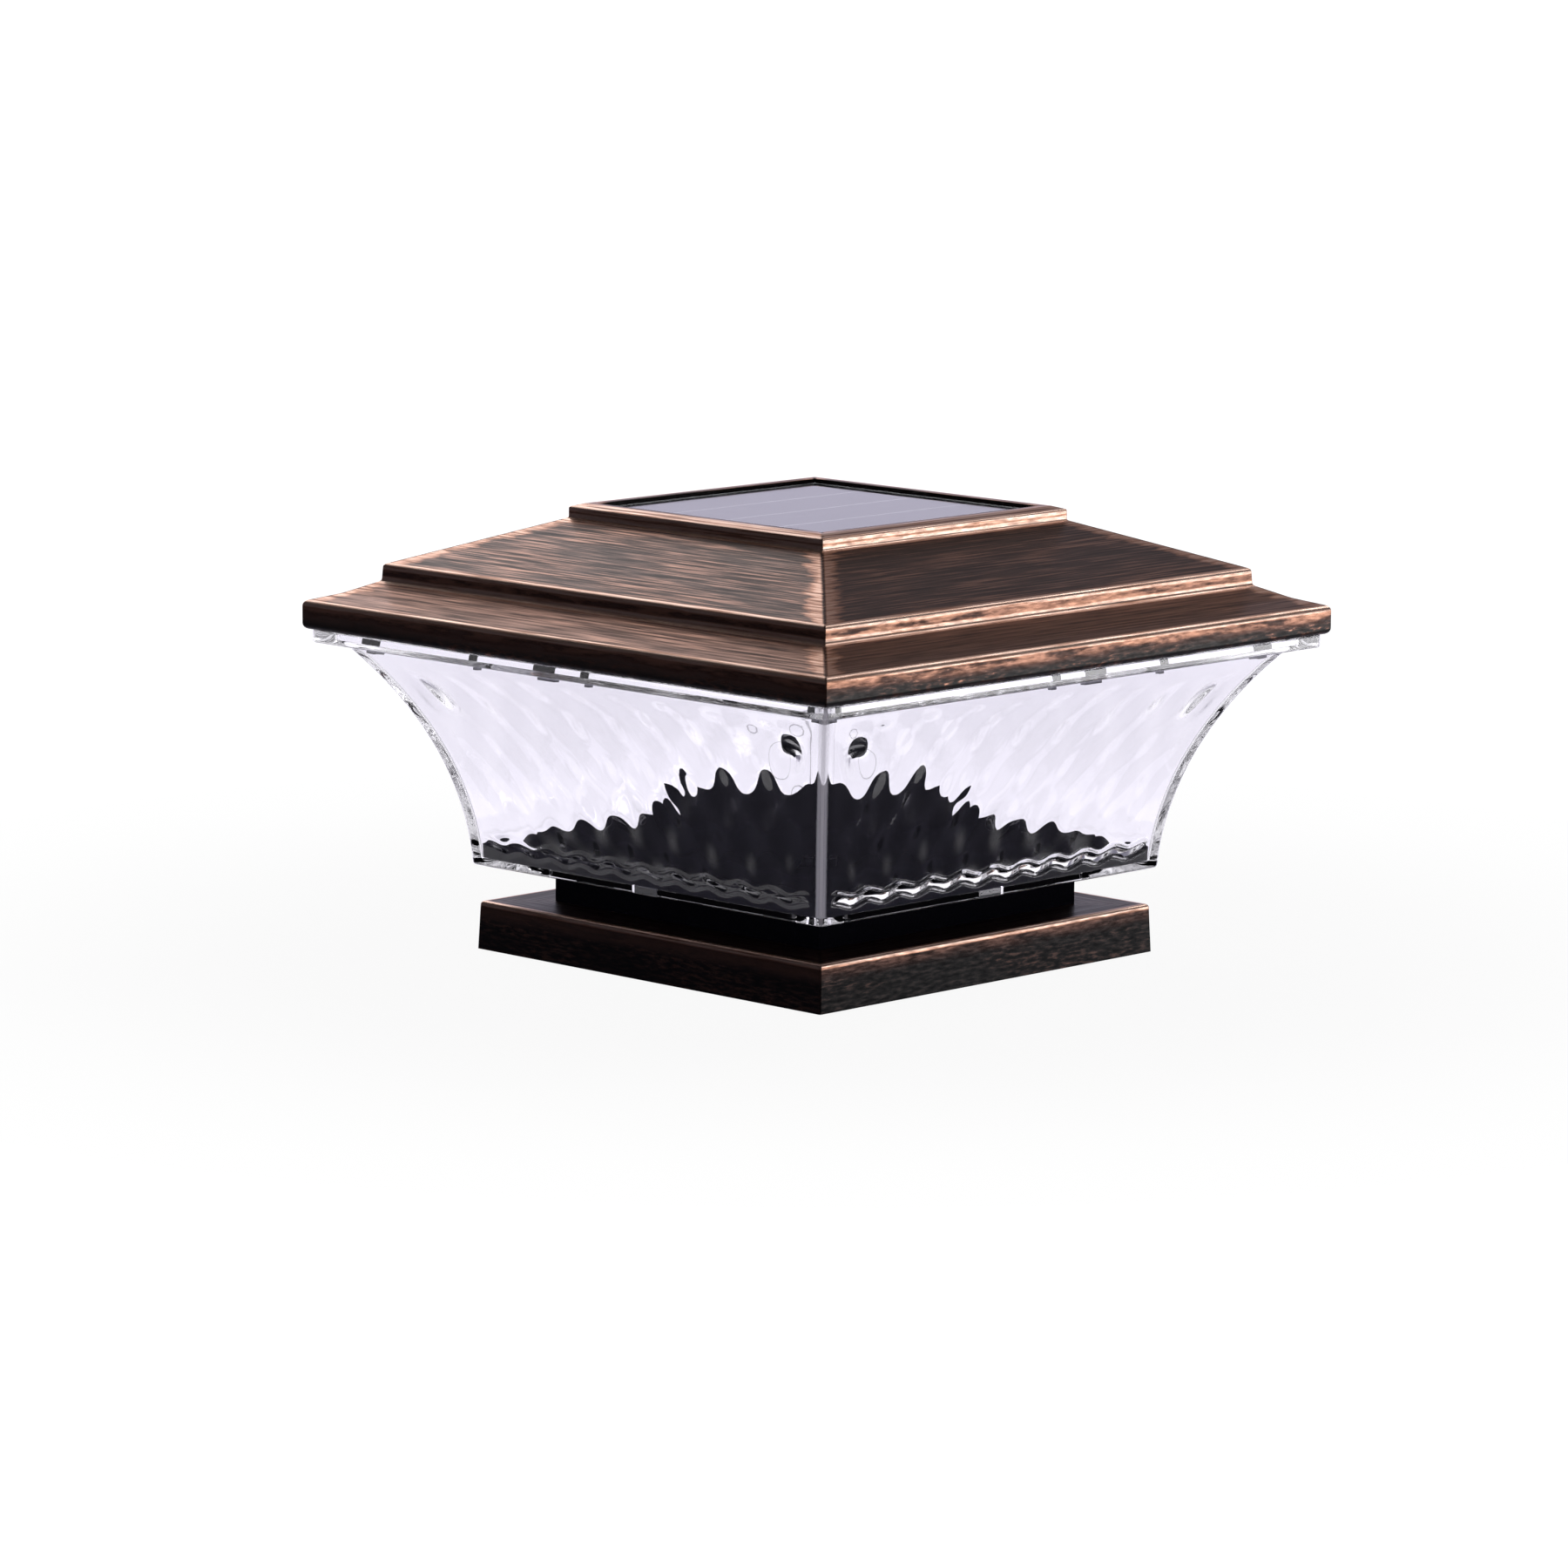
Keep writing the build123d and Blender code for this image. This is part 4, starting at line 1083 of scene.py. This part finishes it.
def make_floor():
    shape = bmesh.new()
    bmesh.ops.create_circle(shape, cap_ends=True, radius=floor_radius, segments=floor_segments)
    floor = new_piece("floor", shape)
    material, tree = new_material("pale_floor")
    path = add(tree, "ShaderNodeLightPath").outputs
    place = add(tree, "ShaderNodeTexCoord").outputs["Object"]
    reach = add(tree, "ShaderNodeVectorMath", {0: place}, operation="LENGTH").outputs["Value"]
    along_view = add(
        tree, "ShaderNodeVectorMath", {0: place, 1: to_the_back}, operation="DOT_PRODUCT"
    ).outputs["Value"]
    paleness = add(
        tree,
        "ShaderNodeMapRange",
        {
            "Value": reach,
            "From Min": shadow_radius,
            "From Max": floor_radius,
            "To Min": shadow_whiteness,
            "To Max": 1.0,
        },
        interpolation_type="SMOOTHSTEP",
    ).outputs[0]

    # Through the clear plastic the floor is white, but for the ring of painted shade
    bright = add(tree, "ShaderNodeMath", {0: reach, 1: painted_shade_inner}, operation="LESS_THAN").outputs[0]
    for value, start, width in (
        (along_view, 0.0, painted_shade_back_blur),
        (reach, painted_shade_outer, painted_shade_outer_blur),
    ):
        edge = add(
            tree,
            "ShaderNodeMapRange",
            {"Value": value, "From Min": start, "From Max": start + width},
            interpolation_type="SMOOTHSTEP",
        ).outputs[0]
        bright = add(tree, "ShaderNodeMath", {0: bright, 1: edge}, operation="MAXIMUM").outputs[0]
    through = add(
        tree,
        "ShaderNodeMix",
        {0: bright, 6: to_linear(painted_shade_colour), 7: (white_level, white_level, white_level, 1)},
        data_type="RGBA",
    ).outputs[2]
    glow = add(
        tree, "ShaderNodeMix", {0: path["Is Camera Ray"], 6: through, 7: (1, 1, 1, 1)}, data_type="RGBA"
    ).outputs[2]
    whiten = add(
        tree, "ShaderNodeMix", {0: path["Is Camera Ray"], 2: path["Is Transmission Ray"], 3: paleness}
    ).outputs[0]
    matt = add(tree, "ShaderNodeBsdfDiffuse", {"Color": to_linear("#EDEDED")})
    white = add(tree, "ShaderNodeEmission", {"Color": glow, "Strength": 1.0})
    mixed = add(tree, "ShaderNodeMixShader", {0: whiten, 1: matt.outputs[0], 2: white.outputs[0]})
    below = add(tree, "ShaderNodeNewGeometry").outputs["Backfacing"]
    open_below = add(tree, "ShaderNodeBsdfTransparent")
    sided = add(tree, "ShaderNodeMixShader", {0: below, 1: mixed.outputs[0], 2: open_below.outputs[0]})
    add(tree, "ShaderNodeOutputMaterial", {"Surface": sided.outputs[0]})
    floor.data.materials.append(material)
    floor.visible_glossy = False


def make_world():
    world = bpy.data.worlds.new("studio")
    world.use_nodes = True
    bpy.context.scene.world = world
    tree = world.node_tree
    tree.nodes.clear()
    path = add(tree, "ShaderNodeLightPath").outputs
    direction = add(tree, "ShaderNodeTexCoord").outputs["Generated"]
    along_view = add(
        tree, "ShaderNodeVectorMath", {0: direction, 1: to_the_back}, operation="DOT_PRODUCT"
    ).outputs["Value"]
    height = add(tree, "ShaderNodeSeparateXYZ", {0: direction}).outputs[2]
    low = add(
        tree,
        "ShaderNodeMapRange",
        {
            "Value": height,
            "From Min": mirror_low,
            "From Max": mirror_high,
            "To Min": 1.0,
            "To Max": mirror_dim,
        },
        interpolation_type="SMOOTHSTEP",
    ).outputs[0]
    backdrop = add(
        tree,
        "ShaderNodeMapRange",
        {
            "Value": along_view,
            "From Min": mirror_front,
            "From Max": mirror_back,
            "To Min": mirror_dark,
            "To Max": 1.0,
        },
        interpolation_type="SMOOTHSTEP",
    ).outputs[0]
    mirrored = add(tree, "ShaderNodeMath", {0: backdrop, 1: low}, operation="MULTIPLY").outputs[0]
    strength = add(tree, "ShaderNodeMix", {0: path["Is Glossy Ray"], 2: ambient, 3: mirrored}).outputs[0]
    seen = add(
        tree,
        "ShaderNodeMath",
        {0: path["Is Camera Ray"], 1: path["Is Transmission Ray"]},
        operation="MAXIMUM",
    ).outputs[0]
    strength = add(tree, "ShaderNodeMix", {0: seen, 2: strength, 3: wall_level}).outputs[0]
    mirrored_tint = add(
        tree, "ShaderNodeMix", {0: low, 6: to_linear("#FFF6F1"), 7: to_linear("#EDE8FF")}, data_type="RGBA"
    ).outputs[2]
    tint = add(
        tree, "ShaderNodeMix", {0: seen, 6: mirrored_tint, 7: (1, 1, 1, 1)}, data_type="RGBA"
    ).outputs[2]
    background = add(tree, "ShaderNodeBackground", {"Color": tint, "Strength": strength})
    add(tree, "ShaderNodeOutputWorld", {"Surface": background.outputs[0]})


def softbox(name, place, size, power, seen_in_plastic=False):
    """A square lamp turned towards the light."""
    data = bpy.data.lights.new(name, "AREA")
    data.shape = "RECTANGLE"
    data.size, data.size_y = size
    data.energy = power
    lamp = bpy.data.objects.new(name, data)
    bpy.context.scene.collection.objects.link(lamp)
    lamp.visible_transmission = seen_in_plastic
    lamp.location = place
    aim = softboxes_aim - Vector(place)
    lamp.rotation_euler = aim.to_track_quat("-Z", "Y").to_euler()


place_camera()
make_floor()
make_world()
softbox("key_behind_left", (-1.07, 0.38, 0.75), (0.7, 0.7), 3.0)
softbox("rim_behind_right", (0.2, 1.0, 0.95), (0.35, 0.35), 2.0)
softbox("fill_right", (0.83, 0.85, -0.08), (0.6, 0.4), 2.8, seen_in_plastic=True)

scene = bpy.context.scene
scene.view_settings.view_transform = "Standard"
scene.cycles.max_bounces = 64
scene.cycles.glossy_bounces = 48
scene.cycles.transmission_bounces = 64
